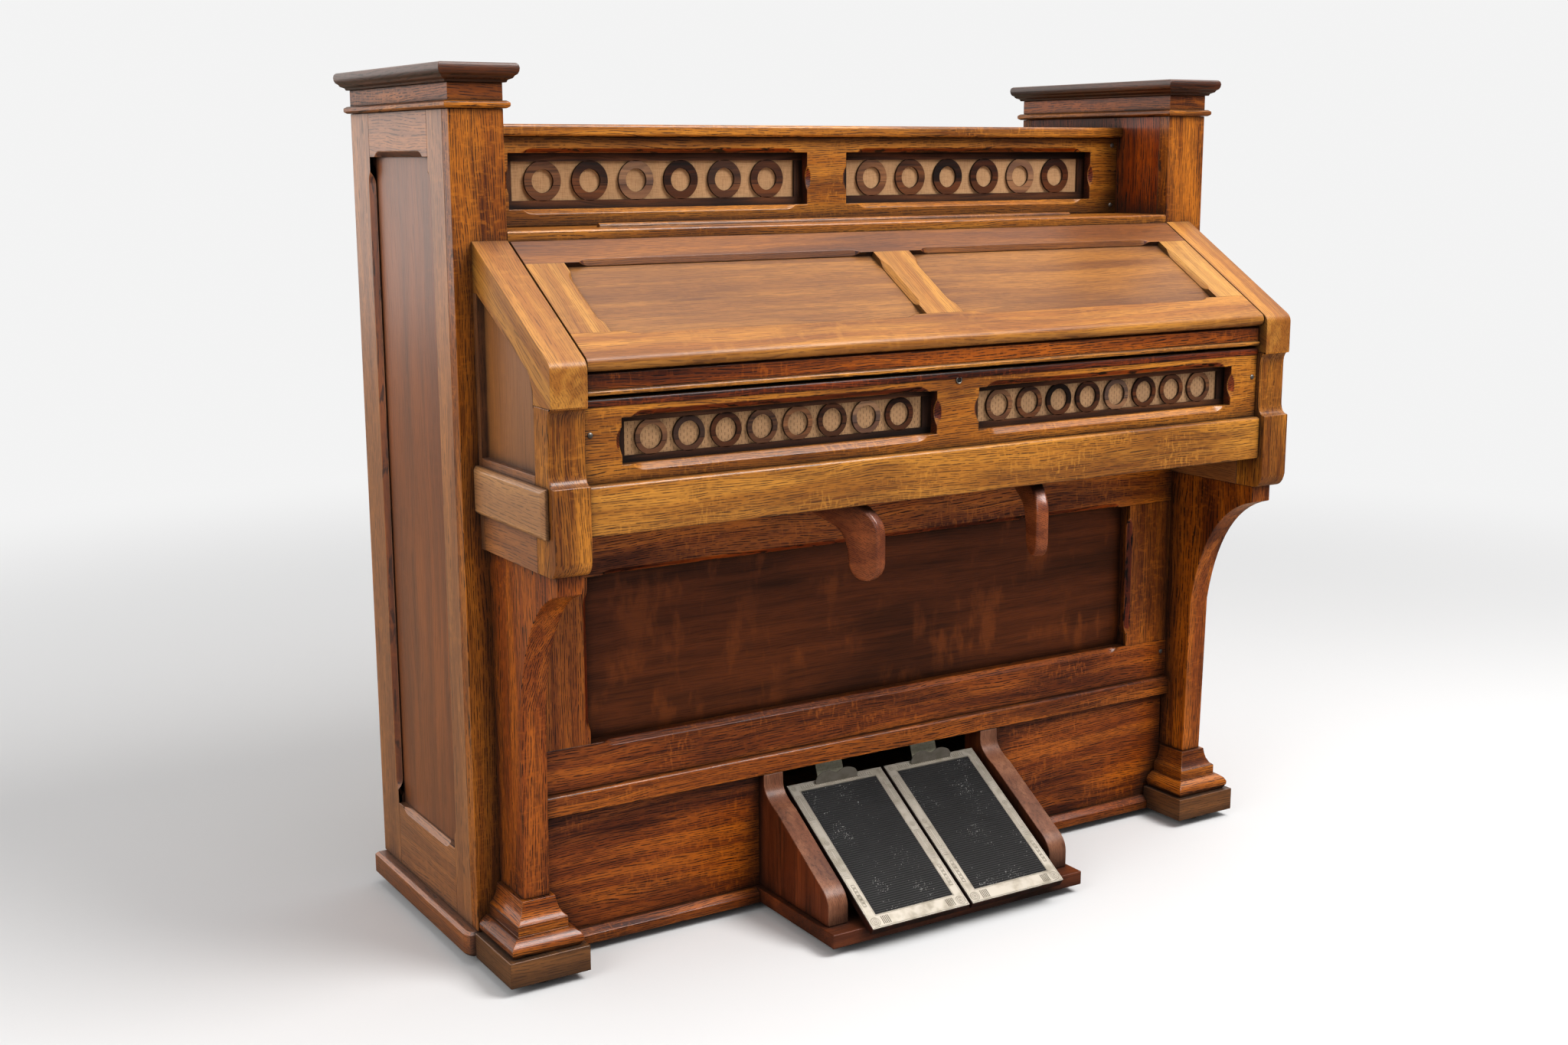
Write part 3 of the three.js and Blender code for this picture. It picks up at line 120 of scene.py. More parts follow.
@dataclass(frozen=True)
class WoodFinish:
    """Colours and surface of one wood finish.

    Attributes:
        name: The material's name.
        light: Screen colour of the bright wood between the pores.
        middle: Screen colour of the main wood.
        dark: Screen colour of the dark clouds.
        pore: Screen colour of the pores and, darkened, of the grime and painted shade in corners.
        pores: Strength of the pores, from 0 to 1.
        flakes: Strength of the rays that cross the grain, from 0 to 1.
        mottle: Strength of the dark clouds, from 0 to 1.
        ray: Screen colour of the rays, or None where it is the bright wood's.
        density: Closeness of the pores across the grain, 1 for plain oak.
        shortness: Closeness of the pores along the grain, 1 for plain oak.
        ray_scale: Number of rays, as a share of those of plain oak.
        roughness: Roughness of the wood itself.
        shine: Specular level of the wood itself.
        coat: Weight of the varnish.
        coat_roughness: Roughness of the varnish.
        worn: Strength of the pale edges, both rubbed wood and painted highlight, from 0 to 1.
    """

    name: str
    light: Colour
    middle: Colour
    dark: Colour
    pore: Colour
    pores: float = 1.0
    flakes: float = 0.4
    mottle: float = 0.5
    ray: Colour | None = None
    density: float = 1.0
    shortness: float = 1.0
    ray_scale: float = 1.0
    roughness: float = 0.42
    shine: float = 0.22
    coat: float = 0.35
    coat_roughness: float = 0.3
    worn: float = 0.5


class Finish(Enum):
    """The wood finishes of the organ's pieces."""

    OAK = WoodFinish(
        "oak", (202, 131, 42), (172, 104, 28), (112, 60, 16), (50, 25, 8), flakes=0.65,
        mottle=0.75, density=1.12, shortness=1.15, ray_scale=2.4, coat=0.45, coat_roughness=0.16)
    RAIL = WoodFinish(
        "rail_oak", (198, 139, 60), (168, 108, 40), (122, 70, 23), (80, 44, 15), pores=0.6,
        mottle=0.55, density=1.1, shortness=0.8, coat=0.3)
    SIDE = WoodFinish(
        "side_oak", (176, 108, 50), (142, 82, 36), (98, 52, 22), (54, 27, 11), pores=0.85,
        flakes=0.5, shine=0.45, coat=0.75)
    PANEL = WoodFinish(
        "panel_oak", (140, 70, 17), (114, 55, 12), (76, 35, 7), (46, 21, 5), pores=0.4,
        flakes=0.2, mottle=0.4, density=1.1, shortness=0.4, shine=0.45, coat=0.7,
        coat_roughness=0.26)
    KNEE = WoodFinish(
        "knee_oak", (98, 42, 8), (84, 35, 7), (56, 23, 5), (40, 17, 4), pores=0.5, flakes=0.6,
        mottle=0.8, ray=(132, 60, 10), density=1.1, shortness=0.6, ray_scale=0.42, shine=0.12,
        coat=0.2, coat_roughness=0.24, worn=0.2)
    LID_PANEL = WoodFinish(
        "lid_oak", (164, 107, 44), (136, 84, 32), (102, 58, 21), (70, 38, 14), pores=0.7,
        flakes=0.15, mottle=0.6, density=1.3, shortness=0.6, coat=0.4, coat_roughness=0.25)
    PEDAL = WoodFinish(
        "pedal_oak", (124, 58, 24), (94, 41, 15), (62, 27, 10), (40, 17, 7), pores=0.4,
        flakes=0.2, mottle=0.8, density=1.2, shortness=0.5, coat=0.3, worn=0.8)
    TREAD = WoodFinish(
        "trodden_oak", (146, 96, 68), (122, 74, 50), (86, 48, 30), (62, 33, 20), pores=0.7,
        flakes=0.0, mottle=0.9, density=1.6, shortness=2.0, coat=0.3)
    LEVER = WoodFinish(
        "lever_oak", (156, 80, 36), (124, 58, 24), (84, 35, 14), (48, 19, 8), pores=0.9,
        flakes=0.0, mottle=0.4, density=1.5, shortness=1.6, shine=0.3, coat=0.6,
        coat_roughness=0.2)
    STAINED = WoodFinish(
        "stained_oak", (130, 80, 33), (102, 61, 24), (64, 36, 14), (34, 19, 8), pores=0.7,
        flakes=0.2, shine=0.4, coat=0.5, coat_roughness=0.26)
    ROSEWOOD = WoodFinish(
        "rosewood", (120, 68, 34), (70, 36, 19), (36, 18, 11), (20, 10, 6), pores=0.5,
        flakes=0.0, mottle=1.0, density=0.5, shortness=0.3, coat=0.25, worn=0.25)
    PINE = WoodFinish(
        "pine", (204, 160, 106), (180, 132, 80), (150, 104, 60), (118, 78, 44), pores=0.3,
        flakes=0.0, mottle=0.4, density=0.4, shortness=0.15, roughness=0.7, coat=0.0, worn=0.1)
    EBONY = WoodFinish(
        "ebony", (42, 34, 28), (26, 20, 17), (14, 11, 9), (8, 6, 5), pores=0.3, flakes=0.0,
        mottle=0.4, roughness=0.32, coat=0.5, coat_roughness=0.2, worn=0.15)


class Wiring:
    """Short calls for building one node tree."""

    prefix = "ShaderNode"

    def __init__(self, tree: Tree) -> None:
        """Keep the tree that the nodes go into."""
        self.tree = tree

    def feed(self, node: Node, inputs: dict[str | int, object]) -> Node:
        """Link sockets to a node's inputs, or set the inputs' values.

        Args:
            node: The node that takes the values.
            inputs: A socket to link or a plain value, by the input's name or number.

        Returns:
            The same node.
        """
        for key, value in inputs.items():
            if isinstance(value, Socket):
                self.tree.links.new(value, node.inputs[key])
            else:
                node.inputs[key].default_value = value
        return node

    def node(self, kind: str, inputs: dict[str | int, object] | None = None,
             **settings: object) -> Node:
        """Add a node.

        Args:
            kind: The node's type, which may leave out the tree's own prefix.
            inputs: Values or sockets by input name or number.
            **settings: Properties to set first.

        Returns:
            The new node.
        """
        whole = kind.startswith(("Shader", "Function", "NodeGroup"))
        made = self.tree.nodes.new(kind if whole else self.prefix + kind)
        for name, value in settings.items():
            setattr(made, name, value)
        return self.feed(made, inputs or {})

    def put(self, kind: str, inputs: dict[str | int, object] | None = None,
            **settings: object) -> Socket:
        """Add a node as node() does and give its first output."""
        return self.node(kind, inputs, **settings).outputs[0]

    def math(self, operation: str, *terms: object, clamp: bool = False) -> Socket:
        """Add a Math node.

        Args:
            operation: The operation's name.
            *terms: Its values or sockets.
            clamp: Whether the result stays between 0 and 1.

        Returns:
            The result's socket.
        """
        return self.put("ShaderNodeMath", dict(enumerate(terms)), operation=operation,
                        use_clamp=clamp)

    def mul(self, first: object, *others: object, clamp: bool = False) -> Socket:
        """Multiply values or sockets in order, and clamp the last result where told to."""
        for k, other in enumerate(others, 1):
            first = self.math("MULTIPLY", first, other, clamp=clamp and k == len(others))
        return first

    def mad(self, first: object, factor: object, added: object, clamp: bool = False) -> Socket:
        """Multiply a value by a factor and add another value."""
        return self.math("MULTIPLY_ADD", first, factor, added, clamp=clamp)

    def vector(self, operation: str, *terms: object, output: int = 0) -> Socket:
        """Add a Vector Math node and give its result, 0 for a vector and 1 for a number."""
        made = self.node("ShaderNodeVectorMath", dict(enumerate(terms)), operation=operation)
        return made.outputs[output]

    def combine(self, x: object = 0.0, y: object = 0.0, z: object = 0.0) -> Socket:
        """Make a vector of three values or sockets."""
        return self.put("ShaderNodeCombineXYZ", {0: x, 1: y, 2: z})

    def split(self, vector: Socket) -> Sequence[Socket]:
        """Give the three parts of a vector."""
        return self.node("ShaderNodeSeparateXYZ", {0: vector}).outputs

    def noise(self, spot: Socket, scales: object = None, detail: float = 2.0,
              roughness: float = 0.5, output: str | int = 0) -> Socket:
        """Add a Noise Texture.

        Args:
            spot: The place that it reads.
            scales: One factor for the place, three of them, a socket, or None.
            detail: Its detail.
            roughness: Its roughness.
            output: The output to give.

        Returns:
            The noise's socket.
        """
        if isinstance(scales, float):
            scales = (scales, scales, scales)
        if scales is not None:
            spot = self.vector("MULTIPLY", spot, scales)
        return self.node("ShaderNodeTexNoise", {
            "Vector": spot, "Scale": 1.0, "Detail": detail, "Roughness": roughness,
        }).outputs[output]

    def ramp(self, value: object, low: float, high: float) -> Socket:
        """Spread low to high smoothly over 0 to 1, or backwards where low is higher."""
        up = low < high
        inputs = (value, min(low, high), max(low, high), float(not up), float(up))
        return self.put("ShaderNodeMapRange", dict(enumerate(inputs)),
                        interpolation_type="SMOOTHSTEP")

    def blend(self, share: object, first: object, second: object) -> Socket:
        """Mix two colours.

        Args:
            share: The share of the second colour.
            first: A socket, a screen colour of three parts or a linear one of four.
            second: The same for the other colour.

        Returns:
            The mixed colour's socket.
        """
        first, second = (linear(item) if isinstance(item, tuple) and len(item) == 3 else item
                         for item in (first, second))
        return self.node("ShaderNodeMix", {0: share, 6: first, 7: second},
                         data_type="RGBA").outputs[2]

    def mixed(self, share: Socket, first: Node, second: Node) -> Node:
        """Mix two shaders by the share of the second."""
        return self.node("ShaderNodeMixShader", {
            0: share, 1: first.outputs[0], 2: second.outputs[0]})


class Group(Wiring):
    """A node group with named inputs and outputs."""

    family = "Shader"
    kinds = {float: "Float", int: "Int", tuple: "Color"}

    def __init__(self, name: str, inputs: dict[str, object], outputs: dict[str, str]) -> None:
        """Start the group.

        Args:
            name: The group's name.
            inputs: The value of each input, or the kind of one without a value.
            outputs: The kind of each output.
        """
        super().__init__(bpy.data.node_groups.new(name, self.family + "NodeTree"))
        new_socket = self.tree.interface.new_socket
        for label, kind in outputs.items():
            new_socket(label, in_out="OUTPUT", socket_type="NodeSocket" + kind)
        self.values: dict[str, object] = {}
        for label, value in inputs.items():
            kind = value if isinstance(value, str) else self.kinds[type(value)]
            socket = new_socket(label, in_out="INPUT", socket_type="NodeSocket" + kind)
            if kind is not value:
                socket.default_value = value
                self.values[socket.identifier] = value
        self.source = self.node("NodeGroupInput")
        self.sink = self.node("NodeGroupOutput")

    def __getitem__(self, label: str) -> Socket:
        """Give the socket of a named input."""
        return self.source.outputs[label]


def grain_group() -> Tree:
    """Build the wood grain: growth bands, pores, rays across the grain and dark clouds.

    Returns:
        The node group. Its Grain input runs along the wood in x, across it in y and z.
    """
    wood = Group("WoodGrain", {
        "Grain": "Vector", "Light": (0.5, 0.3, 0.1, 1.0), "Middle": (0.4, 0.2, 0.08, 1.0),
        "Dark": (0.2, 0.1, 0.04, 1.0), "Pore": (0.05, 0.02, 0.01, 1.0),
        "Ray": (0.6, 0.35, 0.12, 1.0), "Pores": 1.0, "Flakes": 0.4, "Mottle": 0.5,
        "Density": 1.0, "Shortness": 1.0, "Ray Scale": 1.0, "Tone": 0.0,
    }, {"Color": "Color", "Height": "Float", "Gloss": "Float"})
    mul, mad, ramp, noise = wood.mul, wood.mad, wood.ramp, wood.noise
    grain, density = wood["Grain"], wood["Density"]
    bend = noise(grain, (2.5, 9.0, 9.0), output="Color")
    wavy = wood.vector("MULTIPLY_ADD", bend, (0.0, 0.03, 0.03), grain)
    bands = noise(wavy, (2.0, 60.0, 50.0))
    streaks = noise(wavy, (7.0, 210.0, 190.0))
    clouds = noise(wavy, (3.5, 16.0, 16.0), 3.0)
    shade = mad(ramp(streaks, 0.48, 0.7), 0.55, ramp(clouds, 0.42, 0.7))
    colour = wood.blend(ramp(bands, 0.62, 0.36), wood["Middle"], wood["Light"])
    colour = wood.blend(mul(shade, wood["Mottle"], clamp=True), colour, wood["Dark"])

    spread = wood.node("ShaderNodeVectorMath", operation="SCALE")
    wood.feed(spread, {0: wood.vector("MULTIPLY", grain, (95.0, 34.0, 60.0)),
                       "Scale": wood["Ray Scale"]})
    rays = noise(spread.outputs[0], None, 3.0, 0.55)
    patches = noise(grain, (9.0, 12.0, 12.0), 1.0)
    rays = mul(ramp(rays, 0.5, 0.68), ramp(patches, 0.42, 0.6), wood["Flakes"], clamp=True)
    colour = wood.blend(mul(rays, 0.75), colour, wood["Ray"])

    size = wood.combine(mul(wood["Shortness"], 55.0), mul(density, 300.0), mul(density, 260.0))
    marks = noise(wavy, size, 2.0, 0.55)
    wander = noise(wavy, (13.0, 90.0, 90.0), 1.0)
    strength = noise(wavy, (11.0, 46.0, 46.0), 1.0)
    hairs = noise(grain, (60.0, 900.0, 800.0), 1.0)
    apart = wood.split(wavy)
    rows = mad(mul(mad(apart[2], 0.6, apart[1]), density), 285.0, mul(wander, 2.0))
    row = mad(wood.math("SUBTRACT", 0.5, marks), 0.4, wood.math("PINGPONG", rows, 0.5))
    dashes = mul(ramp(row, 0.18, 0.05), ramp(marks, 0.42, 0.5), mad(strength, 1.3, 0.35))
    dashes = wood.math("MAXIMUM", dashes, mul(ramp(hairs, 0.5, 0.68), 0.4), clamp=True)
    pores = mul(mul(dashes, wood["Pores"], clamp=True), mad(rays, -0.75, 1.0), clamp=True)
    colour = wood.blend(mul(pores, 0.9), colour, wood["Pore"])

    lightness = wood.math("SUBTRACT", 1.0, wood["Tone"])
    wood.feed(wood.sink, {
        "Color": wood.put("Gamma", {"Color": colour, "Gamma": lightness}),
        "Height": mul(pores, -1.0), "Gloss": mad(pores, 0.25, mul(clouds, 0.1))})
    return wood.tree


def edge_corner_group() -> Tree:
    """Build the edge and corner masks: pale edges, rubbed and painted highlight, and darkened
    corners, grime and painted shade.

    Returns:
        The node group. Edge is 1 on flat faces and less on edges, Open is 1 away from corners.
    """
    wear = Group("EdgeWear", {
        "Place": "Vector", "Edge": 1.0, "Open": 1.0, "Worn": 0.5, "Dirt": 0.8,
    }, {"Worn": "Float", "Dirt": "Float"})
    patches = wear.noise(wear["Place"], 38.0, 3.0)
    # Pale edges: rubbed surface and painted highlight.
    edge = wear.mul(wear.ramp(wear["Edge"], 0.985, 0.86), wear.ramp(patches, 0.35, 0.65))
    # Darkened corners from ambient occlusion: grime and painted shade.
    corner = wear.math("POWER", wear.ramp(wear["Open"], 0.98, 0.54), 1.25)
    corner = wear.mul(corner, wear.mad(patches, 0.6, 0.7), clamp=True)
    wear.feed(wear.sink, {"Worn": wear.mul(edge, wear["Worn"], clamp=True),
                          "Dirt": wear.mul(corner, wear["Dirt"], clamp=True)})
    return wear.tree


def dust_group() -> Tree:
    """Build a mask of fine dust and a mask of small specks."""
    dust = Group("Dust", {"Place": "Vector", "Film": 0.3, "Specks": 0.5},
                 {"Film": "Float", "Specks": "Float"})
    film = dust.ramp(dust.noise(dust["Place"], 22.0, 4.0), 0.4, 0.75)
    specks = dust.noise(dust["Place"], 560.0, 1.0)
    spread = dust.ramp(dust.noise(dust["Place"], 20.0), 0.45, 0.7)
    mask = dust.ramp(dust.mad(spread, 0.12, specks), 0.765, 0.81)
    dust.feed(dust.sink, {"Film": dust.mul(film, dust["Film"]),
                          "Specks": dust.mul(mask, dust["Specks"], clamp=True)})
    return dust.tree


class Paint(Wiring):
    """The node tree of one material, with its Principled shader."""

    def __init__(self, name: str, wear: Tree) -> None:
        """Start the material.

        Args:
            name: Its name.
            wear: The group with the edge and corner masks, which hold rubbed edges with painted
                highlight and grime with painted shade.
        """
        self.material = bpy.data.materials.new(name)
        self.material.use_nodes = True
        super().__init__(self.material.node_tree)
        self.wear = wear
        self.shader = self.tree.nodes["Principled BSDF"]
        self.spot = self.node("TexCoord").outputs["Object"]

    def attribute(self, name: str, output: str = "Fac") -> Socket:
        """Read an attribute of the mesh."""
        return self.node("Attribute", attribute_name=name).outputs[output]

    def age(self, worn: float, dirt: float, reach: float = 0.04) -> Sequence[Socket]:
        """Add pale edges, rubbed and partly painted highlight, and corners darkened by grime and
        painted shade.

        Args:
            worn: Strength of the pale edges, rubbed and painted highlight.
            dirt: Strength of the corner darkening, grime and painted shade.
            reach: How far from a corner the grime and painted shade spread, in metres.

        Returns:
            The mask of pale edges, rubbed and painted highlight, and the mask of darkened corners,
            grime and painted shade.
        """
        rounded = self.put("Bevel", {"Radius": 0.0016}, samples=4)
        flat = self.node("NewGeometry").outputs["Normal"]
        corner = self.node("AmbientOcclusion", {"Distance": reach}, samples=6)
        group = self.node("Group", {
            "Place": self.spot, "Edge": self.vector("DOT_PRODUCT", rounded, flat, output=1),
            "Open": corner.outputs["AO"], "Worn": worn, "Dirt": dirt}, node_tree=self.wear)
        return group.outputs["Worn"], group.outputs["Dirt"]

    def done(self, inputs: dict[str, object], height: Socket | None = None,
             strength: float = 0.0, depth: float = 0.0) -> Material:
        """Feed the shader and give the material.

        Args:
            inputs: The shader's values or sockets by name.
            height: The height that makes its relief, if any.
            strength: Strength of the relief.
            depth: Depth of the relief in metres.

        Returns:
            The material.
        """
        if height is not None:
            bump = {"Strength": strength, "Distance": depth, "Height": height}
            self.feed(self.shader, {"Normal": self.put("Bump", bump)})
        self.feed(self.shader, inputs)
        return self.material


class Palette:
    """All materials of the organ and its studio."""

    def __init__(self) -> None:
        """Build the shared groups and every material."""
        self.grain = grain_group()
        self.wear = edge_corner_group()
        self.dust = dust_group()
        self.woods = {finish: self.wood(finish.value) for finish in Finish}
        self.fret = self.wood(replace(Finish.ROSEWOOD.value, name="fret_rosewood"), seam=True)
        self.nickel = self.metal("worn_nickel", (158, 152, 141), (98, 89, 70), 0.36)
        self.shadow = self.make_shadow()
        self.steel = self.metal("screw_steel", (130, 126, 120), (50, 44, 38), 0.36)
        self.linen = self.cloth("tan_linen", (192, 148, 102), (152, 110, 70))
        self.flecked = self.cloth("flecked_linen", (182, 138, 94), (142, 102, 64), flecks=0.7)
        self.webbing = self.cloth("pale_webbing", (186, 180, 156), (142, 134, 110), pitch=1.6)
        self.rubber = self.make_rubber()
        self.ivory = self.make_ivory()
        self.floor = self.make_floor()

    def wood(self, finish: WoodFinish, seam: bool = False) -> Material:
        """Make a varnished wood that reads each board's own grain and tone.

        Args:
            finish: The colours and surface.
            seam: Whether a pale glue line crosses each ring below its middle.

        Returns:
            The material.
        """
        paint = Paint(finish.name, self.wear)
        mul, mad, math_node = paint.mul, paint.mad, paint.math
        inputs: dict[str, object] = {
            "Grain": paint.attribute("grain", "Vector"), "Tone": paint.attribute("tone"),
            "Ray": linear(finish.ray or finish.light)}
        for label in ("Light", "Middle", "Dark", "Pore"):
            inputs[label] = linear(getattr(finish, label.lower()))
        for label in ("Pores", "Flakes", "Mottle", "Density", "Shortness", "Ray Scale"):
            inputs[label] = getattr(finish, label.lower().replace(" ", "_"))
        group = paint.node("Group", inputs, node_tree=self.grain)
        worn, dirt = paint.age(finish.worn, 0.85)
        colour = group.outputs["Color"]
        if seam:
            gap = math_node("ADD", paint.attribute("seam"), 0.006)
            below = mul(paint.ramp(gap, 0.0002, -0.0002), 0.3)
            line = mul(paint.ramp(math_node("ABSOLUTE", gap), 0.0007, 0.0003), 0.8)
            colour = paint.blend(below, colour, finish.light)
            colour = paint.blend(line, colour, finish.pore)
        # Edges go paler: rubbed wood and painted highlight.
        colour = paint.blend(mul(worn, 0.55), colour, finish.light)
        rough = mad(group.outputs["Gloss"], 0.6, finish.roughness)
        return paint.done({
            # Corners go towards a darker pore colour: grime and painted shade.
            "Base Color": paint.blend(dirt, colour, linear(finish.pore, 0.45)),
            "Roughness": math_node("ADD", rough, mul(dirt, 0.2), clamp=True),
            "Coat Weight": mul(math_node("SUBTRACT", 1.0, dirt), finish.coat),
            "Coat Roughness": finish.coat_roughness, "Specular IOR Level": finish.shine,
        }, group.outputs["Height"], 0.35, 0.0004)

    def metal(self, name: str, bright: Colour, dull: Colour, roughness: float) -> Material:
        """Make a rubbed metal with pale edges, partly painted highlight, and dull oxide with grime
        and painted shade in its corners.

        Args:
            name: The material's name.
            bright: Screen colour of the clean metal.
            dull: Screen colour of the oxide film and of the grime and painted shade in corners.
            roughness: Roughness of the clean metal.

        Returns:
            The material.
        """
        paint = Paint(name, self.wear)
        worn, dirt = paint.age(0.6, 1.0, 0.004)
        film = paint.ramp(paint.noise(paint.spot, 60.0, 5.0), 0.42, 0.72)
        marks = paint.noise(paint.spot, (900.0, 260.0, 900.0), 3.0)
        # The dull colour covers a patchy oxide film and, in corners, grime with painted shade.
        tarnish_and_shade = paint.math("MAXIMUM", paint.mul(film, 0.45), dirt, clamp=True)
        colour = paint.blend(tarnish_and_shade, bright, dull)
        rough = paint.mad(tarnish_and_shade, 0.3, roughness)
        return paint.done({
            # Edges go brighter than the clean metal: rubbed metal and painted highlight.
            "Base Color": paint.blend(worn, colour, linear(bright, 1.12)), "Metallic": 0.86,
            "Roughness": paint.math("ADD", rough, paint.mul(marks, 0.12), clamp=True),
        }, marks, 0.15, 0.0002)

    def cloth(self, name: str, bright: Colour, dull: Colour, flecks: float = 0.0,
              pitch: float = 1.1) -> Material:
        """Make a plain woven cloth that hangs in the plane of x and z.

        Args:
            name: The material's name.
            bright: Screen colour of a thread's crown.
            dull: Screen colour between the threads.
            flecks: Strength of the small dark upright flecks.
            pitch: Distance between threads in millimetres.

        Returns:
            The material.
        """
        paint = Paint(name, self.wear)
        mul, mad, ramp, math_node = paint.mul, paint.mad, paint.ramp, paint.math
        apart = paint.split(paint.spot)
        turns = 2.0 * math.pi / (pitch * MM)
        warp, weft = (math_node("SINE", mul(apart[axis], turns)) for axis in (0, 2))
        weave = mad(mul(warp, weft), 0.5, 0.5)
        slub = paint.noise(paint.spot, (900.0, 900.0, 90.0))
        cross = paint.noise(paint.spot, (90.0, 900.0, 900.0))
        thread = mad(math_node("ADD", slub, cross), 0.5, mul(weave, 0.3))
        colour = paint.blend(ramp(thread, 0.35, 0.85), dull, bright)
        if flecks:
            column = math_node("DIVIDE", apart[0], 4.6 * MM)
            odd = math_node("PINGPONG", math_node("FLOOR", column), 1.0)
            level = mad(odd, 0.5, math_node("DIVIDE", apart[2], 7.4 * MM))
            beside, along = (
                math_node("ABSOLUTE", math_node("SUBTRACT", math_node("FRACT", part), 0.5))
                for part in (column, level))
            beside = mad(paint.noise(paint.spot, (420.0, 420.0, 260.0), 1.0), 0.16, beside)
            fleck = mul(ramp(beside, 0.24, 0.15), ramp(along, 0.3, 0.2), flecks)
            colour = paint.blend(fleck, colour, (92, 64, 36))
        film = ramp(paint.noise(paint.spot, 14.0, 3.0), 0.45, 0.8)
        return paint.done({
            "Base Color": paint.blend(mul(film, 0.35), colour, linear(dull, 0.7)),
            "Roughness": mad(thread, -0.1, 0.95), "Sheen Weight": 0.2,
        }, thread, 0.6, 0.0004)

    def make_shadow(self) -> Material:
        """Make the painted shade that stands for the dark inside of a hole."""
        paint = Paint("hole_black", self.wear)
        hole_shade = paint.blend(paint.noise(paint.spot, 800.0), (6, 5, 4), (18, 14, 11))
        return paint.done({"Base Color": hole_shade, "Roughness": 0.9})

    def make_rubber(self) -> Material:
        """Make black ribbed rubber with dust and small white specks."""
        paint = Paint("rubber", self.wear)
        group = paint.node("Group", {"Place": paint.spot, "Film": 0.35, "Specks": 0.8},
                           node_tree=self.dust)
        film = group.outputs["Film"]
        worn, dirt = paint.age(0.6, 0.5, 0.003)
        colour = paint.blend(film, (6, 6, 7), (24, 23, 24))
        # Grey rib edges: rubbed rubber and painted highlight.
        colour = paint.blend(paint.mul(worn, 0.25), colour, (70, 68, 68))
        colour = paint.blend(group.outputs["Specks"], colour, (196, 194, 190))
        return paint.done({
            # Darker between the ribs and in corners: grime and painted shade.
            "Base Color": paint.blend(dirt, colour, (12, 12, 13)),
            "Roughness": paint.mad(film, 0.4, 0.4, clamp=True), "Specular IOR Level": 0.26})

    def make_ivory(self) -> Material:
        """Make aged ivory-coloured key facing with faint streaks along the keys."""
        paint = Paint("ivory", self.wear)
        streaks = paint.noise(paint.spot, (420.0, 14.0, 60.0), 3.0)
        film = paint.ramp(paint.noise(paint.spot, 24.0, 3.0), 0.5, 0.8)
        # Corners darken towards brown: grime and painted shade.
        dirt = paint.age(0.2, 0.7, 0.006)[1]
        colour = paint.blend(paint.ramp(streaks, 0.35, 0.7), (236, 228, 202), (222, 210, 176))
        colour = paint.blend(paint.mul(film, 0.5), colour, (206, 186, 140))
        return paint.done({
            "Base Color": paint.blend(dirt, colour, (88, 70, 46)),
            "Roughness": paint.mad(streaks, 0.2, 0.24), "Coat Weight": 0.2})

    def make_floor(self) -> Material:
        """Make the plain pale floor, which looks evenly pale to the camera."""
        paint = Paint("studio_floor", self.wear)
        path = paint.node("LightPath").outputs
        depth = paint.split(paint.spot)[1]
        near, behind = (0.1, 0.085, 0.07, 1.0), (0.36, 0.28, 0.2, 1.0)
        seen = paint.blend(paint.ramp(depth, -0.3, 0.5), near, behind)
        quiet = paint.node("BsdfDiffuse", {"Color": seen})
        pale = paint.node("Emission", {"Color": (0.9, 0.9, 0.9, 1.0), "Strength": 1.0})
        reach = paint.ramp(paint.vector("LENGTH", paint.spot, output=1), 1.2, 3.6)
        shown = paint.mixed(path["Is Glossy Ray"], paint.shader, quiet)
        far = paint.mixed(paint.mul(reach, path["Is Camera Ray"]), shown, pale)
        paint.feed(paint.tree.nodes["Material Output"], {"Surface": far.outputs[0]})
        return paint.done({"Base Color": (0.82, 0.81, 0.8, 1.0), "Roughness": 0.8,
                           "Specular IOR Level": 0.1})


@dataclass(frozen=True)
class Board:
    """One board of a node, or the whole node where it has no limits.

    Attributes:
        grain: The way its grain runs.
        finish: Its wood finish.
        tone: Lighter above 0, darker below.
        edge: Rounding of its edges in millimetres.
        chamfer: What its sloped faces and window reveals that do not face up add to the tone:
            darker stain and painted shade.
        x: Its reach across the organ.
        y: Its reach from front to back.
        z: Its reach in height.
        outline: Its corners as (y, z), anticlockwise seen from the right, in place of y and z.
    """

    grain: Grain
    finish: Finish = Finish.OAK
    tone: float = 0.0
    edge: float = 0.8
    chamfer: float = 0.0
    x: Span = OPEN
    y: Span = OPEN
    z: Span = OPEN
    outline: tuple[Span, ...] = ()

    @property
    def whole(self) -> bool:
        """Whether the board is its whole node."""
        return not self.outline and self.x == self.y == self.z == OPEN

    def corners(self) -> tuple[Span, ...]:
        """Give the outline of the prism that cuts the board out."""
        (y0, y1), (z0, z1) = self.y, self.z
        return self.outline or ((y0, z0), (y1, z0), (y1, z1), (y0, z1))

    def mirrored(self) -> Board:
        """Give the same board on the other side of the organ."""
        return replace(self, x=(-self.x[1], -self.x[0]))


def sloping(slope: float) -> Matrix:
    """Give the turn into wood whose grain runs up a slope in the plane of y and z."""
    cos, sin = math.cos(slope), math.sin(slope)
    return Matrix(((0, cos, sin), (1, 0, 0), (0, -sin, cos)))


TURNS = {
    Grain.ACROSS: Matrix(((1, 0, 0), (0, 0, 1), (0, 1, 0))),
    Grain.DEEP: Matrix(((0, 1, 0), (0, 0, 1), (1, 0, 0))),
    Grain.UPRIGHT: Matrix(((0, 0, 1), (1, 0, 0), (0, 1, 0))),
    Grain.LID: sloping(LID_SLOPE),
    Grain.TREADLE: sloping(TREADLE_SLOPE),
}


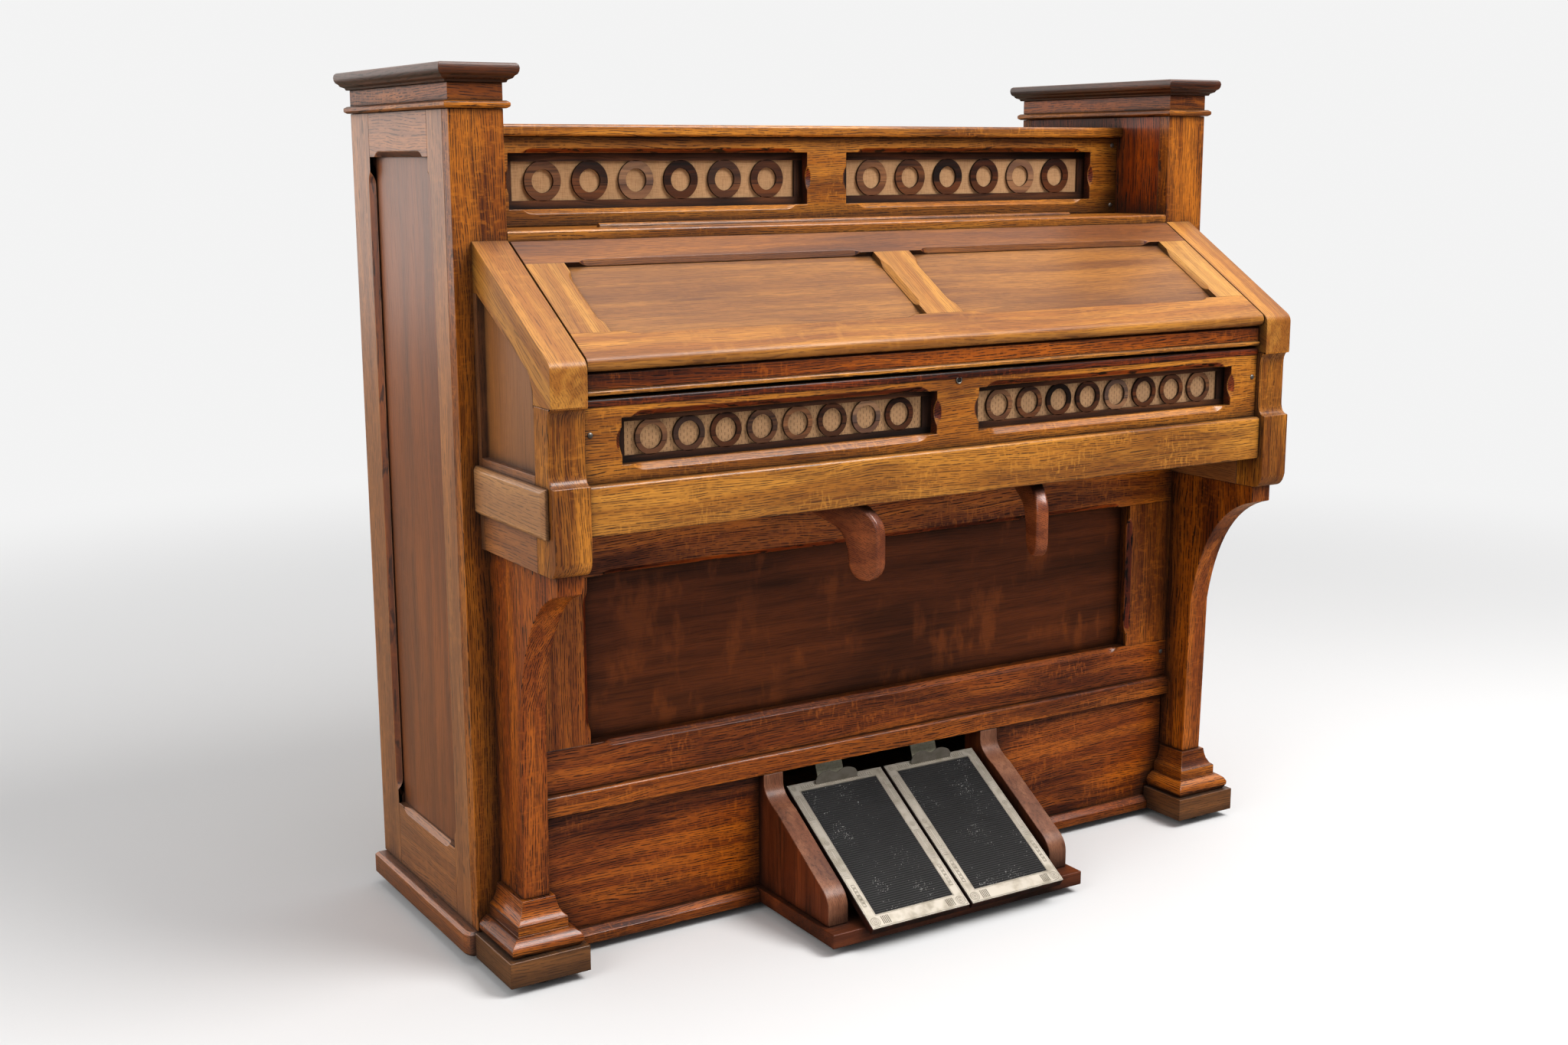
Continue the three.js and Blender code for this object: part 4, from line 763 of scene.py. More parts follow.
def turn_for(grain: Grain, normal: Vector) -> Matrix:
    """Give the turn that brings the wood's length to x.

    Args:
        grain: The way the board's grain runs.
        normal: The face's normal, for mouldings that wrap round corners.

    Returns:
        A 3 by 3 matrix that takes a place to its place in the wood.
    """
    if grain is Grain.WRAP:
        sideways = abs(normal.x) > abs(normal.y) or abs(normal.z) > 0.9
        grain = Grain.DEEP if sideways else Grain.ACROSS
    return TURNS[grain]


def to_mesh(form: Form, name: str, *materials: Material) -> Mesh:
    """Turn a form into a mesh with its materials and free the form."""
    mesh = bpy.data.meshes.new(name)
    form.to_mesh(mesh)
    form.free()
    for material in materials:
        mesh.materials.append(material)
    return mesh


def points_mesh(name: str, points: Sequence[Vector]) -> Mesh:
    """Make a mesh of loose points."""
    mesh = bpy.data.meshes.new(name)
    mesh.from_pydata([tuple(point) for point in points], [], [])
    return mesh


def box_mesh(name: str, x: Span, y: Span, z: Span,
             turn: Callable[[float, float, float], Vector] = place) -> Mesh:
    """Make a box.

    Args:
        name: The mesh's name.
        x: Reach in x, in millimetres.
        y: Reach in y, in millimetres.
        z: Reach in z, in millimetres.
        turn: The call that places a corner.

    Returns:
        The box's mesh.
    """
    form = bmesh.new()
    corners = [form.verts.new(turn(a, b, c)) for c in z for b in y for a in x]
    for loop in ((0, 2, 3, 1), (4, 5, 7, 6), (0, 1, 5, 4), (2, 6, 7, 3), (0, 4, 6, 2),
                 (1, 3, 7, 5)):
        form.faces.new([corners[k] for k in loop])
    return to_mesh(form, name)


class Workshop:
    """Cuts boards out of CAD nodes and finishes meshes."""

    # A face is sloped where no part of its normal is above this, and upward above the next one;
    # faces that face up keep their tone as lit faces, and the others take the chamfer's stain and
    # painted shade.
    sloped = 0.93
    upward = 0.3
    # Area of the narrowest moulding for its rim, and its least way in from the ends, in metres.
    moulding_least = 0.0009
    moulding_in = 0.01
    # Distances under which corners are one, in metres, and angles for flat faces and for edges.
    node_weld = 2e-6
    board_weld = 1e-5
    flat_angle = math.radians(0.6)
    edge_angle = math.radians(28.0)
    # How far boards differ in the place that their wood comes from, in metres, and in tone.
    grain_spread = 9.0
    tone_spread = 0.07

    def __init__(self, palette: Palette) -> None:
        """Keep the materials and start the fixed chance for tones."""
        self.palette = palette
        self.chance = random.Random(41)

    def add(self, name: str, mesh: Mesh) -> Thing:
        """Put a mesh into the scene as an object at the origin."""
        made = bpy.data.objects.new(name, mesh)
        bpy.context.scene.collection.objects.link(made)
        return made

    def settle(self, piece: Thing) -> Thing:
        """Apply every modifier of a piece to its mesh."""
        graph = bpy.context.evaluated_depsgraph_get()
        mesh = bpy.data.meshes.new_from_object(
            piece.evaluated_get(graph), preserve_all_data_layers=True, depsgraph=graph)
        old = piece.data
        piece.modifiers.clear()
        piece.data = mesh
        mesh.name = piece.name
        if old.users == 0:
            bpy.data.meshes.remove(old)
        return piece

    def modify(self, piece: Thing, kind: str, **settings: object) -> None:
        """Add a modifier to a piece and apply it."""
        made = piece.modifiers.new(kind, kind)
        for name, value in settings.items():
            setattr(made, name, value)
        self.settle(piece)

    def prism(self, name: str, board: Board) -> Thing:
        """Make the solid that cuts a board out."""
        form = bmesh.new()
        outline = board.corners()
        near, far = ([form.verts.new(place(x, y, z)) for y, z in outline] for x in board.x)
        form.faces.new(list(reversed(near)))
        form.faces.new(far)
        for k in range(len(outline)):
            after = (k + 1) % len(outline)
            form.faces.new((near[k], near[after], far[after], far[k]))
        bmesh.ops.recalc_face_normals(form, faces=form.faces)
        return self.add(name, to_mesh(form, "prism"))

    def tidy(self, mesh: Mesh) -> None:
        """Join the flat faces of a cut board."""
        form = bmesh.new()
        form.from_mesh(mesh)
        bmesh.ops.remove_doubles(form, verts=form.verts, dist=self.board_weld)
        bmesh.ops.dissolve_limit(
            form, angle_limit=self.flat_angle, verts=form.verts, edges=form.edges)
        form.to_mesh(mesh)
        form.free()

    def carve(self, node: str, copy: Mesh, board: Board) -> Thing | None:
        """Cut one board out of a node's copy and round its edges.

        Args:
            node: The node's name.
            copy: The merged copy of its mesh.
            board: The board to cut.

        Returns:
            The board, or None where its region holds nothing of the node.
        """
        piece = self.add(node + "_board", copy.copy())
        if not board.whole:
            cutter = self.prism("cutter", board)
            self.modify(piece, "BOOLEAN", operation="INTERSECT", solver="EXACT", object=cutter)
            bpy.data.objects.remove(cutter)
        self.tidy(piece.data)
        if not piece.data.polygons:
            bpy.data.objects.remove(piece)
            return None
        if board.edge > 0.0:
            self.modify(piece, "BEVEL", width=board.edge * MM, segments=2, limit_method="ANGLE",
                        angle_limit=self.edge_angle, use_clamp_overlap=False)
        self.mark(piece.data, board)
        return piece

    def cut(self, node: str, boards: Iterable[Board]) -> list[Thing]:
        """Cut every board out of a node that it holds something of."""
        form = bmesh.new()
        form.from_mesh(frame["nodes"][node].data)
        bmesh.ops.remove_doubles(form, verts=form.verts, dist=self.node_weld)
        copy = to_mesh(form, node + "_copy")
        parts = [part for part in (self.carve(node, copy, board) for board in boards) if part]
        bpy.data.meshes.remove(copy)
        return parts

    def is_moulding(self, mesh: Mesh, face: bpy.types.MeshPolygon, ends: Span, whole: bool) -> bool:
        """Tell whether a face belongs to a chamfer or to the reveal of a window that does not face
        up, and so takes painted shade with darker stain.

        Args:
            mesh: The board's mesh.
            face: The face.
            ends: The board's reach in x, in metres.
            whole: Whether the board is its whole node, which may have windows.

        Returns:
            True where the chamfer's stain and painted shade hold.
        """
        normal, middle = face.normal, face.center.x
        if normal.z >= self.upward:
            return False
        rim = sum((mesh.vertices[a].co - mesh.vertices[b].co).length for a, b in face.edge_keys)
        sloped = max(abs(part) for part in normal) < self.sloped
        inside = ends[0] + self.moulding_in < middle < ends[1] - self.moulding_in
        reveal = whole and abs(normal.x) > self.sloped and inside
        return (sloped or reveal) and 2.0 * face.area > self.moulding_least * rim

    def mark(self, mesh: Mesh, board: Board) -> None:
        """Write a board's grain and tone on its mesh and give it its material."""
        start = Vector([self.chance.uniform(0.0, self.grain_spread) for _ in range(3)])
        tone = board.tone + self.chance.uniform(-self.tone_spread, self.tone_spread)
        mesh.attributes.new("grain", "FLOAT_VECTOR", "CORNER")
        mesh.attributes.new("tone", "FLOAT", "CORNER")
        places = [0.0] * (len(mesh.loops) * 3)
        tones = [tone] * len(mesh.loops)
        low, high = (pick(vertex.co.x for vertex in mesh.vertices) for pick in (min, max))
        for face in mesh.polygons:
            face.material_index = 0
            turn = turn_for(board.grain, face.normal)
            # Chamfers and reveals that do not face up take a darker tone: stain and painted shade.
            moulding = board.chamfer and self.is_moulding(mesh, face, (low, high), board.whole)
            for loop in face.loop_indices:
                if moulding:
                    tones[loop] = tone + board.chamfer
                spot = turn @ mesh.vertices[mesh.loops[loop].vertex_index].co + start
                places[loop * 3:loop * 3 + 3] = spot
        mesh.attributes["grain"].data.foreach_set("vector", places)
        mesh.attributes["tone"].data.foreach_set("value", tones)
        self.coat(mesh, self.palette.woods[board.finish])

    def coat(self, mesh: Mesh, material: Material) -> None:
        """Give a mesh one material in place of any others."""
        mesh.materials.clear()
        mesh.materials.append(material)

    def join(self, name: str, parts: Sequence[Thing]) -> Thing:
        """Join parts into one smoothly shaded piece.

        Args:
            name: The piece's name.
            parts: The objects to join.

        Returns:
            The joined piece.
        """
        piece = parts[0]
        if len(parts) > 1:
            with bpy.context.temp_override(active_object=piece, object=piece,
                                           selected_editable_objects=list(parts)):
                bpy.ops.object.join()
        piece.name = name
        piece.data.name = name
        return self.smooth(piece)

    def smooth(self, piece: Thing, angle: float = 40.0) -> Thing:
        """Shade a piece smoothly except at its sharp edges, weighted by face size."""
        for face in piece.data.polygons:
            face.use_smooth = True
        piece.data.set_sharp_from_angle(angle=math.radians(angle))
        self.modify(piece, "WEIGHTED_NORMAL", keep_sharp=True)
        return piece

    def build(self, node: str, boards: Iterable[Board], slot: str = "oak") -> None:
        """Replace a node by a piece made of its boards.

        Args:
            node: The node's name.
            boards: Its boards.
            slot: The record's material slot; not used.
        """
        piece = self.join(node + "_joinery", self.cut(node, boards))
        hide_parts(node)
        self.hand_over(piece, self.body_of(node))

    def pair(self, stem: str, boards: Sequence[Board]) -> None:
        """Build the right and the left node of a pair from boards drawn for the right."""
        self.build(stem + "_right", boards)
        self.build(stem + "_left", [board.mirrored() for board in boards])

    def repaint(self, name: str, finish: Finish,
                chosen: Callable[[bpy.types.MeshPolygon], bool]) -> None:
        """Give the chosen faces of a finished piece another wood."""
        mesh = bpy.data.objects[name].data
        mesh.materials.append(self.palette.woods[finish])
        for face in mesh.polygons:
            if chosen(face):
                face.material_index = len(mesh.materials) - 1

    def body_of(self, node: str) -> str:
        """Give the name of the body that a CAD node moves with."""
        return frame["nodes"][node]["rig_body"]

    def hand_over(self, piece: Thing, body: str) -> None:
        """Let a finished piece ride on its body."""
        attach(piece, body)
        LOG.info("%s rides on %s with %d faces", piece.name, body, len(piece.data.polygons))

    def dress(self, node: str, material: Material) -> None:
        """Give a CAD node that stays visible its material."""
        self.coat(frame["nodes"][node].data, material)
        LOG.info("%s takes %s", node, material.name)


class Pattern(Group):
    """A Geometry Nodes tree with named inputs that makes repeated shapes."""

    prefix = "GeometryNode"
    family = "Geometry"

    def __init__(self, name: str, inputs: dict[str, object]) -> None:
        """Start the tree with the value of each input."""
        super().__init__(name, {"Geometry": "Geometry", **inputs}, {"Geometry": "Geometry"})

    def store(self, geometry: Socket, name: str, value: Socket, kind: str, domain: str) -> Socket:
        """Store a named attribute on a geometry and give the geometry."""
        return self.put("StoreNamedAttribute", {"Geometry": geometry, "Name": name, "Value": value},
                        data_type=kind, domain=domain)

    def line(self, start: object, step: Socket) -> Socket:
        """Make a row of as many points as the input Count says."""
        return self.put("MeshLine", {
            "Count": self["Count"], "Start Location": start, "Offset": step})

    def scatter(self, points: Socket, shape: Socket) -> Socket:
        """Put a copy of a shape on each point."""
        return self.put("InstanceOnPoints", {"Points": points, "Instance": shape})

    def run(self, shop: Workshop, name: str, base: Mesh, geometry: Socket,
            material: Material) -> Thing:
        """End the tree, run it on a base mesh and keep the result as a plain mesh.

        Args:
            shop: The workshop that holds the scene.
            name: The piece's name.
            base: The mesh that the tree starts from.
            geometry: The geometry that the tree gives.
            material: The material that it sets.

        Returns:
            The finished object.
        """
        real = self.put("RealizeInstances", {"Geometry": geometry})
        coloured = self.put("SetMaterial", {"Geometry": real, "Material": material})
        self.tree.links.new(coloured, self.sink.inputs[0])
        piece = shop.add(name, base)
        nodes = piece.modifiers.new("Pattern", "NODES")
        nodes.node_group = self.tree
        for identifier, value in self.values.items():
            nodes[identifier] = value
        return shop.settle(piece)


@dataclass
class Towers:
    """The two panelled end towers with their caps."""

    post: float = 20.15
    post_return: float = 318.0
    panel_y: Span = (70.0, 272.0)
    panel_z: Span = (133.0, 1000.0)
    bead_top: float = 1064.5
    cap_bottom: float = 1085.0

    def build(self, shop: Workshop) -> None:
        """Build the sides, posts and caps."""
        y, z = self.panel_y, self.panel_z
        shop.pair("tower_side", [
            Board(Grain.UPRIGHT, Finish.SIDE, chamfer=-0.7, y=(-FAR, y[0])),
            Board(Grain.UPRIGHT, Finish.SIDE, chamfer=-0.35, y=(y[1], FAR)),
            Board(Grain.DEEP, Finish.SIDE, tone=-0.05, chamfer=-0.1, y=y, z=(-FAR, z[0])),
            Board(Grain.DEEP, Finish.SIDE, chamfer=-0.6, y=y, z=(z[1], FAR)),
            Board(Grain.UPRIGHT, Finish.PANEL, edge=0.0, y=y, z=z),
        ])
        shop.pair("tower_post", [
            Board(Grain.UPRIGHT, tone=-0.32, y=(-FAR, self.post)),
            Board(Grain.UPRIGHT, tone=-0.8, y=(self.post, self.post_return)),
            Board(Grain.UPRIGHT, tone=-0.3, y=(self.post_return, FAR)),
        ])
        shop.pair("tower_cap", [
            Board(Grain.WRAP, tone=-0.2, z=(-FAR, self.bead_top)),
            Board(Grain.WRAP, tone=-0.4, z=(self.bead_top, self.cap_bottom)),
            Board(Grain.WRAP, Finish.STAINED, tone=-0.55, z=(self.cap_bottom, FAR)),
        ])


@dataclass
class Cheeks:
    """The two key cheeks with their sloping rails, sunk panels and bands."""

    front: float = -163.0
    rear: float = -10.0
    sill: float = 647.0
    band_x: float = 570.0
    band_z: Span = (570.0, 646.0)
    block_bottom: float = 727.0
    panel_top: float = 842.0
    panel_front: tuple[Span, ...] = ((-163.0, 744.0), (-150.0, 765.5))
    rail_y: Span = (-260.0, 3.0)
    rail_top: float = 960.0

    def build(self, shop: Workshop) -> None:
        """Build both cheeks."""
        inner, outer = (-FAR, self.band_x), (self.band_x, FAR)
        low, high = self.panel_front
        rail = ((self.rear, self.panel_top), (self.rail_y[1], self.panel_top),
                (self.rail_y[1], self.rail_top), (self.rail_y[0], self.rail_top),
                (self.rail_y[0], self.block_bottom), (self.front, self.block_bottom), low, high)
        panel = ((self.front, self.sill), (self.rear, self.sill), (self.rear, self.panel_top),
                 high, low)
        shop.pair("cheek", [
            Board(Grain.LID, Finish.RAIL, tone=-0.18, edge=0.7, outline=rail),
            Board(Grain.UPRIGHT, tone=-0.05, edge=1.4, x=inner, y=(-FAR, self.front),
                  z=(-FAR, self.block_bottom)),
            Board(Grain.UPRIGHT, Finish.PANEL, tone=0.28, edge=0.0, x=inner, outline=panel),
            Board(Grain.DEEP, Finish.SIDE, tone=-0.05, x=inner, y=(self.front, self.rear),
                  z=(-FAR, self.sill)),
            Board(Grain.UPRIGHT, Finish.SIDE, tone=-0.05, edge=0.0, x=inner, y=(self.rear, FAR),
                  z=(-FAR, self.panel_top)),
            # The band is lighter, partly as painted sheen.
            Board(Grain.DEEP, Finish.SIDE, tone=0.3, edge=1.2, x=outer, z=self.band_z),
        ])


@dataclass
class LegsAndBase:
    """The front brackets, their moulded feet and the base frame."""

    glide_top: float = 12.0
    plinth_top: float = 45.0
    block_top: float = 81.0

    def build(self, shop: Workshop) -> None:
        """Build the brackets, the feet and the base."""
        glide = Board(Grain.WRAP, Finish.EBONY, edge=0.4, z=(-FAR, self.glide_top))
        shop.pair("leg_bracket", [Board(Grain.UPRIGHT, tone=-0.5, edge=1.0)])
        shop.pair("leg_foot", [
            Board(Grain.WRAP, Finish.STAINED, -0.05, edge=1.2, z=(self.glide_top, self.plinth_top)),
            Board(Grain.WRAP, tone=-0.4, edge=1.0, z=(self.plinth_top, self.block_top)),
            Board(Grain.WRAP, tone=-0.4, z=(self.block_top, FAR)),
            glide,
        ])
        shop.build("base_board", [
            Board(Grain.WRAP, Finish.SIDE, tone=-0.15, z=(self.glide_top, FAR)), glide])


@dataclass
class CaseBoards:
    """The boards between the towers: shelf, ledges, frames, panels, key bed and back."""

    knee_x: float = 445.0
    knee_z: Span = (274.0, 489.0)
    beam_back: float = -174.0
    moulding_back: float = -25.7
    back_x: float = 453.7
    back_z: Span = (115.3, 954.7)
    back_muntin: float = 35.0

    def build(self, shop: Workshop) -> None:
        """Build every board between the towers."""
        # The window chamfers of the fret frames are much darker: stain and painted shade.
        for node, tone, edge, chamfer in (
                ("upper_shelf", -0.1, 1.0, 0.0), ("upper_fret_frame", -0.05, 0.8, -0.85),
                ("music_ledge", -0.1, 0.6, 0.0), ("front_fret_frame", -0.04, 0.8, -0.85)):
            shop.build(node, [Board(Grain.ACROSS, tone=tone, edge=edge, chamfer=chamfer)])
        shop.build("key_bed", [
            Board(Grain.ACROSS, tone=0.1, edge=2.0, y=(-FAR, self.beam_back)),
            Board(Grain.ACROSS, tone=-0.3, y=(self.beam_back, FAR)),
        ])
        stile = Board(Grain.UPRIGHT, tone=-0.36, chamfer=-0.7, x=(self.knee_x, FAR), z=self.knee_z)
        shop.build("knee_frame", [
            Board(Grain.ACROSS, tone=-0.38, chamfer=-0.5, z=(self.knee_z[1], FAR)),
            Board(Grain.ACROSS, tone=-0.55, chamfer=-0.1, z=(-FAR, self.knee_z[0])),
            stile, stile.mirrored(),
        ])
        shop.build("knee_panel", [Board(Grain.ACROSS, Finish.KNEE, edge=0.0)], "dark_oak")
        shop.build("lower_ledge", [Board(Grain.ACROSS, tone=-0.45)])
        shop.build("lower_board", [
            Board(Grain.ACROSS, tone=-0.5, y=(self.moulding_back, FAR)),
            Board(Grain.ACROSS, tone=-0.45, y=(-FAR, self.moulding_back)),
        ])
        shop.build("stop_board", [Board(Grain.ACROSS, Finish.KNEE, tone=0.1)])
        self.back(shop)
        for node in ("reservoir", "reed_chest", "swell_shutter", "exhauster_left",
                     "exhauster_right"):
            shop.build(node, [Board(Grain.ACROSS, Finish.PINE)], "pine")

    def back(self, shop: Workshop) -> None:
        """Build the pine frame of the back with its two sunk panels."""
        half, muntin, z = self.back_x, self.back_muntin, self.back_z
        pine = Finish.PINE
        shop.build("back_panel", [
            Board(Grain.UPRIGHT, pine, x=(-FAR, -half)),
            Board(Grain.UPRIGHT, pine, x=(half, FAR)),
            Board(Grain.ACROSS, pine, x=(-half, half), z=(-FAR, z[0])),
            Board(Grain.ACROSS, pine, x=(-half, half), z=(z[1], FAR)),
            Board(Grain.UPRIGHT, pine, x=(-muntin, muntin), z=z),
            Board(Grain.UPRIGHT, pine, tone=-0.08, edge=0.0, x=(-half, -muntin), z=z),
            Board(Grain.UPRIGHT, pine, tone=-0.08, edge=0.0, x=(muntin, half), z=z),
        ], "pine")


@dataclass
class Lid:
    """The sloping lid: rails, stiles, muntin, two sunk panels and the hanging front board."""

    pivot: Span = (-19.5033, 880.146)
    ends: Span = (-400.0, 200.0)
    depth: float = 60.0
    rear_rail: float = -22.0
    front_rail: float = -162.0
    stile: float = 471.2
    muntin: float = 28.5
    bead_z: float = 743.4

    def outline(self, low: float, high: float) -> tuple[Span, ...]:
        """Give the part of the lid between two places along its slope from the pivot."""
        cos, sin = math.cos(LID_SLOPE), math.sin(LID_SLOPE)
        deep = self.depth
        return tuple(
            (self.pivot[0] + u * cos - v * sin, self.pivot[1] + u * sin + v * cos)
            for u, v in ((low, -deep), (high, -deep), (high, deep), (low, deep)))

    def build(self, shop: Workshop) -> None:
        """Build the lid and its front board."""
        middle = self.outline(self.front_rail, self.rear_rail)
        stile = Board(Grain.LID, Finish.RAIL, edge=0.4, x=(self.stile, FAR), outline=middle)
        panel = Board(Grain.ACROSS, Finish.LID_PANEL, edge=0.0, x=(self.muntin, self.stile),
                      outline=middle)
        shop.build("lid_frame", [
            # The rear rail is painted darker, as shade under the music ledge; its moulding takes
            # the chamfer's stain and painted shade.
            Board(Grain.ACROSS, Finish.LID_PANEL, tone=-0.3, edge=0.4, chamfer=-0.8,
                  outline=self.outline(self.rear_rail, self.ends[1])),
            Board(Grain.ACROSS, Finish.RAIL, tone=-0.16, edge=0.4,
                  outline=self.outline(self.ends[0], self.front_rail)),
            stile, stile.mirrored(),
            replace(stile, tone=-0.02, x=(-self.muntin, self.muntin)),
            panel, panel.mirrored(),
        ])
        shop.build("lid_front_board", [
            # The board under the lid's nose is painted darker, as shade.
            Board(Grain.ACROSS, tone=-0.5, z=(self.bead_z, FAR)),
            Board(Grain.ACROSS, tone=0.05, edge=0.3, z=(-FAR, self.bead_z)),
        ])


@dataclass
class RingPanel:
    """A pierced panel: rails and end stiles with a row of turned rings in each window.

    Attributes:
        node: The CAD node that it replaces.
        front: Its front face.
        inner: The near end of each window in x.
        outer: The far end of each window in x.
        z: The bottom and the top of the windows.
        rail: How far a rail reaches into a window.
        lap: How far the panel reaches past a window.
        count: Number of rings in a window.
        end: Distance of the end rings' middles from the window's ends.
        radius: Outer radius of a ring.
        hole: Inner radius of a ring.
        stile: How far a stile reaches into a window.
        seam: Half the gap between the panel's halves.
        thickness: Thickness of rails and rings.
        steps: Number of sides of a ring.
        tones: Least and most tone of a ring.
    """

    node: str
    front: float
    inner: float
    outer: float
    z: Span
    rail: float
    lap: float
    count: int
    end: float
    radius: float
    hole: float
    stile: float = 11.0
    seam: float = 0.2
    thickness: float = 3.6
    steps: int = 56
    tones: Span = (-0.25, 0.45)

    def rings(self, shop: Workshop) -> Thing:
        """Make both rows of rings with Geometry Nodes, each ring with its own grain and tone."""
        pitch = (self.outer - self.inner - 2.0 * self.end) / (self.count - 1)
        rows = Pattern(self.node + "_rings", {
            "Count": self.count, "Pitch": pitch * MM, "Reach": (self.inner + self.end) * MM,
            "Radius": self.radius * MM, "Hole": self.hole * MM, "Thickness": self.thickness * MM,
            "Seed": 7})
        radius, hole = rows["Radius"], rows["Hole"]
        circle = rows.put("CurvePrimitiveCircle", {
            "Resolution": self.steps, "Radius": rows.mul(rows.math("ADD", radius, hole), 0.5)})
        profile = rows.put("CurvePrimitiveQuadrilateral", {
            0: rows.math("SUBTRACT", radius, hole), 1: rows["Thickness"]})
        ring = rows.put("CurveToMesh", {"Curve": circle, "Profile Curve": profile})
        ring = rows.put("Transform", {"Geometry": ring, "Rotation": (math.pi / 2.0, 0.0, 0.0)})
        height = rows.split(rows.put("InputPosition"))[2]
        ring = rows.store(ring, "seam", height, "FLOAT", "POINT")
        lines = rows.node("JoinGeometry")
        for side in (-1.0, 1.0):
            start, step = (
                rows.combine(rows.mul(rows[label], side)) for label in ("Reach", "Pitch"))
            rows.tree.links.new(rows.line(start, step), lines.inputs[0])
        geometry = rows.scatter(lines.outputs[0], ring)
        shift = rows.put("FunctionNodeRandomValue", {"Seed": rows["Seed"], 1: (5.0, 5.0, 5.0)},
                         data_type="FLOAT_VECTOR")
        tone = rows.node("FunctionNodeRandomValue", {
            "Seed": rows["Seed"], 2: self.tones[0], 3: self.tones[1],
        }, data_type="FLOAT").outputs[1]
        geometry = rows.store(geometry, "shift", shift, "FLOAT_VECTOR", "INSTANCE")
        geometry = rows.store(geometry, "tone", tone, "FLOAT", "INSTANCE")
        geometry = rows.put("RealizeInstances", {"Geometry": geometry})
        shift = rows.put("InputNamedAttribute", {"Name": "shift"}, data_type="FLOAT_VECTOR")
        x, y, z = rows.split(rows.vector("ADD", rows.put("InputPosition"), shift))
        geometry = rows.store(geometry, "grain", rows.combine(x, z, y), "FLOAT_VECTOR", "POINT")
        centre = place(0.0, self.front + self.thickness / 2.0, sum(self.z) / 2.0)
        moved = rows.put("Transform", {"Geometry": geometry, "Translation": tuple(centre)})
        base = points_mesh("row", [centre])
        rings = rows.run(shop, self.node + "_rings", base, moved, shop.palette.fret)
        return shop.smooth(rings, 30.0)

    def build(self, shop: Workshop, body: str = "case") -> None:
        """Build the rails and the rings and let them replace the node."""
        low, high = self.z
        between = (low + self.rail, high - self.rail)
        far = self.outer + self.lap
        spans = (
            ((self.seam, far), (low - self.lap, between[0]), Grain.ACROSS),
            ((self.seam, far), (between[1], high + self.lap), Grain.ACROSS),
            ((self.seam, self.inner + self.stile), between, Grain.UPRIGHT),
            ((self.outer - self.stile, far), between, Grain.UPRIGHT))
        parts = []
        for side in (-1.0, 1.0):
            for x, z, grain in spans:
                reach = sorted((side * x[0], side * x[1]))
                mesh = box_mesh("rail", reach, (self.front, self.front + self.thickness), z)
                shop.mark(mesh, Board(grain, Finish.ROSEWOOD))
                shop.coat(mesh, shop.palette.fret)
                parts.append(shop.add("rail", mesh))
        rails = shop.join(self.node + "_rails", parts)
        rings = self.rings(shop)
        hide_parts(self.node)
        shop.hand_over(rails, body)
        shop.hand_over(rings, body)


@dataclass
class Screws:
    """Round-head screws at both ends of the frames, each given on the right."""

    heads: tuple[Point, ...] = (
        (513.5, 112.0, 1013.8), (513.5, 112.0, 925.4), (515.0, -194.0, 692.5),
        (516.0, -30.0, 255.6))
    radius: float = 3.4
    height: float = 1.8
    segments: int = 20
    rings: int = 10

    def build(self, shop: Workshop) -> None:
        """Make the screw heads with Geometry Nodes."""
        screws = Pattern("Screws", {"Radius": self.radius * MM, "Height": self.height * MM})
        ball = screws.put("MeshUVSphere", {
            "Segments": self.segments, "Rings": self.rings, "Radius": screws["Radius"]})
        size = screws.combine(1.0, screws.math("DIVIDE", screws["Height"], screws["Radius"]), 1.0)
        head = screws.put("Transform", {"Geometry": ball, "Scale": size})
        head = screws.put("SetShadeSmooth", {"Geometry": head})
        spots = [place(side * x, y, z) for side in (1.0, -1.0) for x, y, z in self.heads]
        piece = screws.run(shop, "frame_screws", points_mesh("screws", spots),
                           screws.scatter(screws["Geometry"], head), shop.palette.steel)
        shop.hand_over(piece, "case")


@dataclass
class Keyboard:
    """The keys with their ivory facings, black sharps, sticks, frame and end blocks."""

    half: float = 425.4
    top: float = 727.02
    facing_bottom: float = 724.8
    facing_back: float = -166.4
    cut: float = -30.0
    bottom: float = 706.8

    def build(self, shop: Workshop) -> None:
        """Build the key frame and the five separate keys."""
        x = (-self.half, self.half)
        face_z, stick_z = (self.facing_bottom, self.top), (self.bottom, self.facing_bottom)
        pine = Board(Grain.DEEP, Finish.PINE, edge=0.0, x=x)
        block = Board(Grain.DEEP, Finish.KNEE, x=(self.half, FAR))
        boards = [
            Board(Grain.DEEP, Finish.EBONY, edge=1.3, x=x, z=(self.top, FAR)),
            replace(pine, y=(self.cut, FAR), z=face_z),
            replace(pine, y=(self.facing_back, FAR), z=stick_z),
            Board(Grain.ACROSS, Finish.PINE, edge=0.3, x=x, z=(-FAR, self.bottom)),
            block, block.mirrored(),
        ]
        facings = [replace(pine, edge=0.35, y=(-FAR, self.cut), z=face_z),
                   replace(pine, edge=0.2, y=(-FAR, self.facing_back), z=stick_z)]
        for node in ("key_frame", "key_c", "key_d", "key_e", "key_c_sharp", "key_d_sharp"):
            if node.endswith("sharp"):
                shop.build(node, boards, "ebony")
                continue
            shop.build(node, boards, "ivory")
            parts = shop.cut(node, facings)
            for part in parts:
                shop.coat(part.data, shop.palette.ivory)
            shop.hand_over(shop.join(node + "_facing", parts), shop.body_of(node))


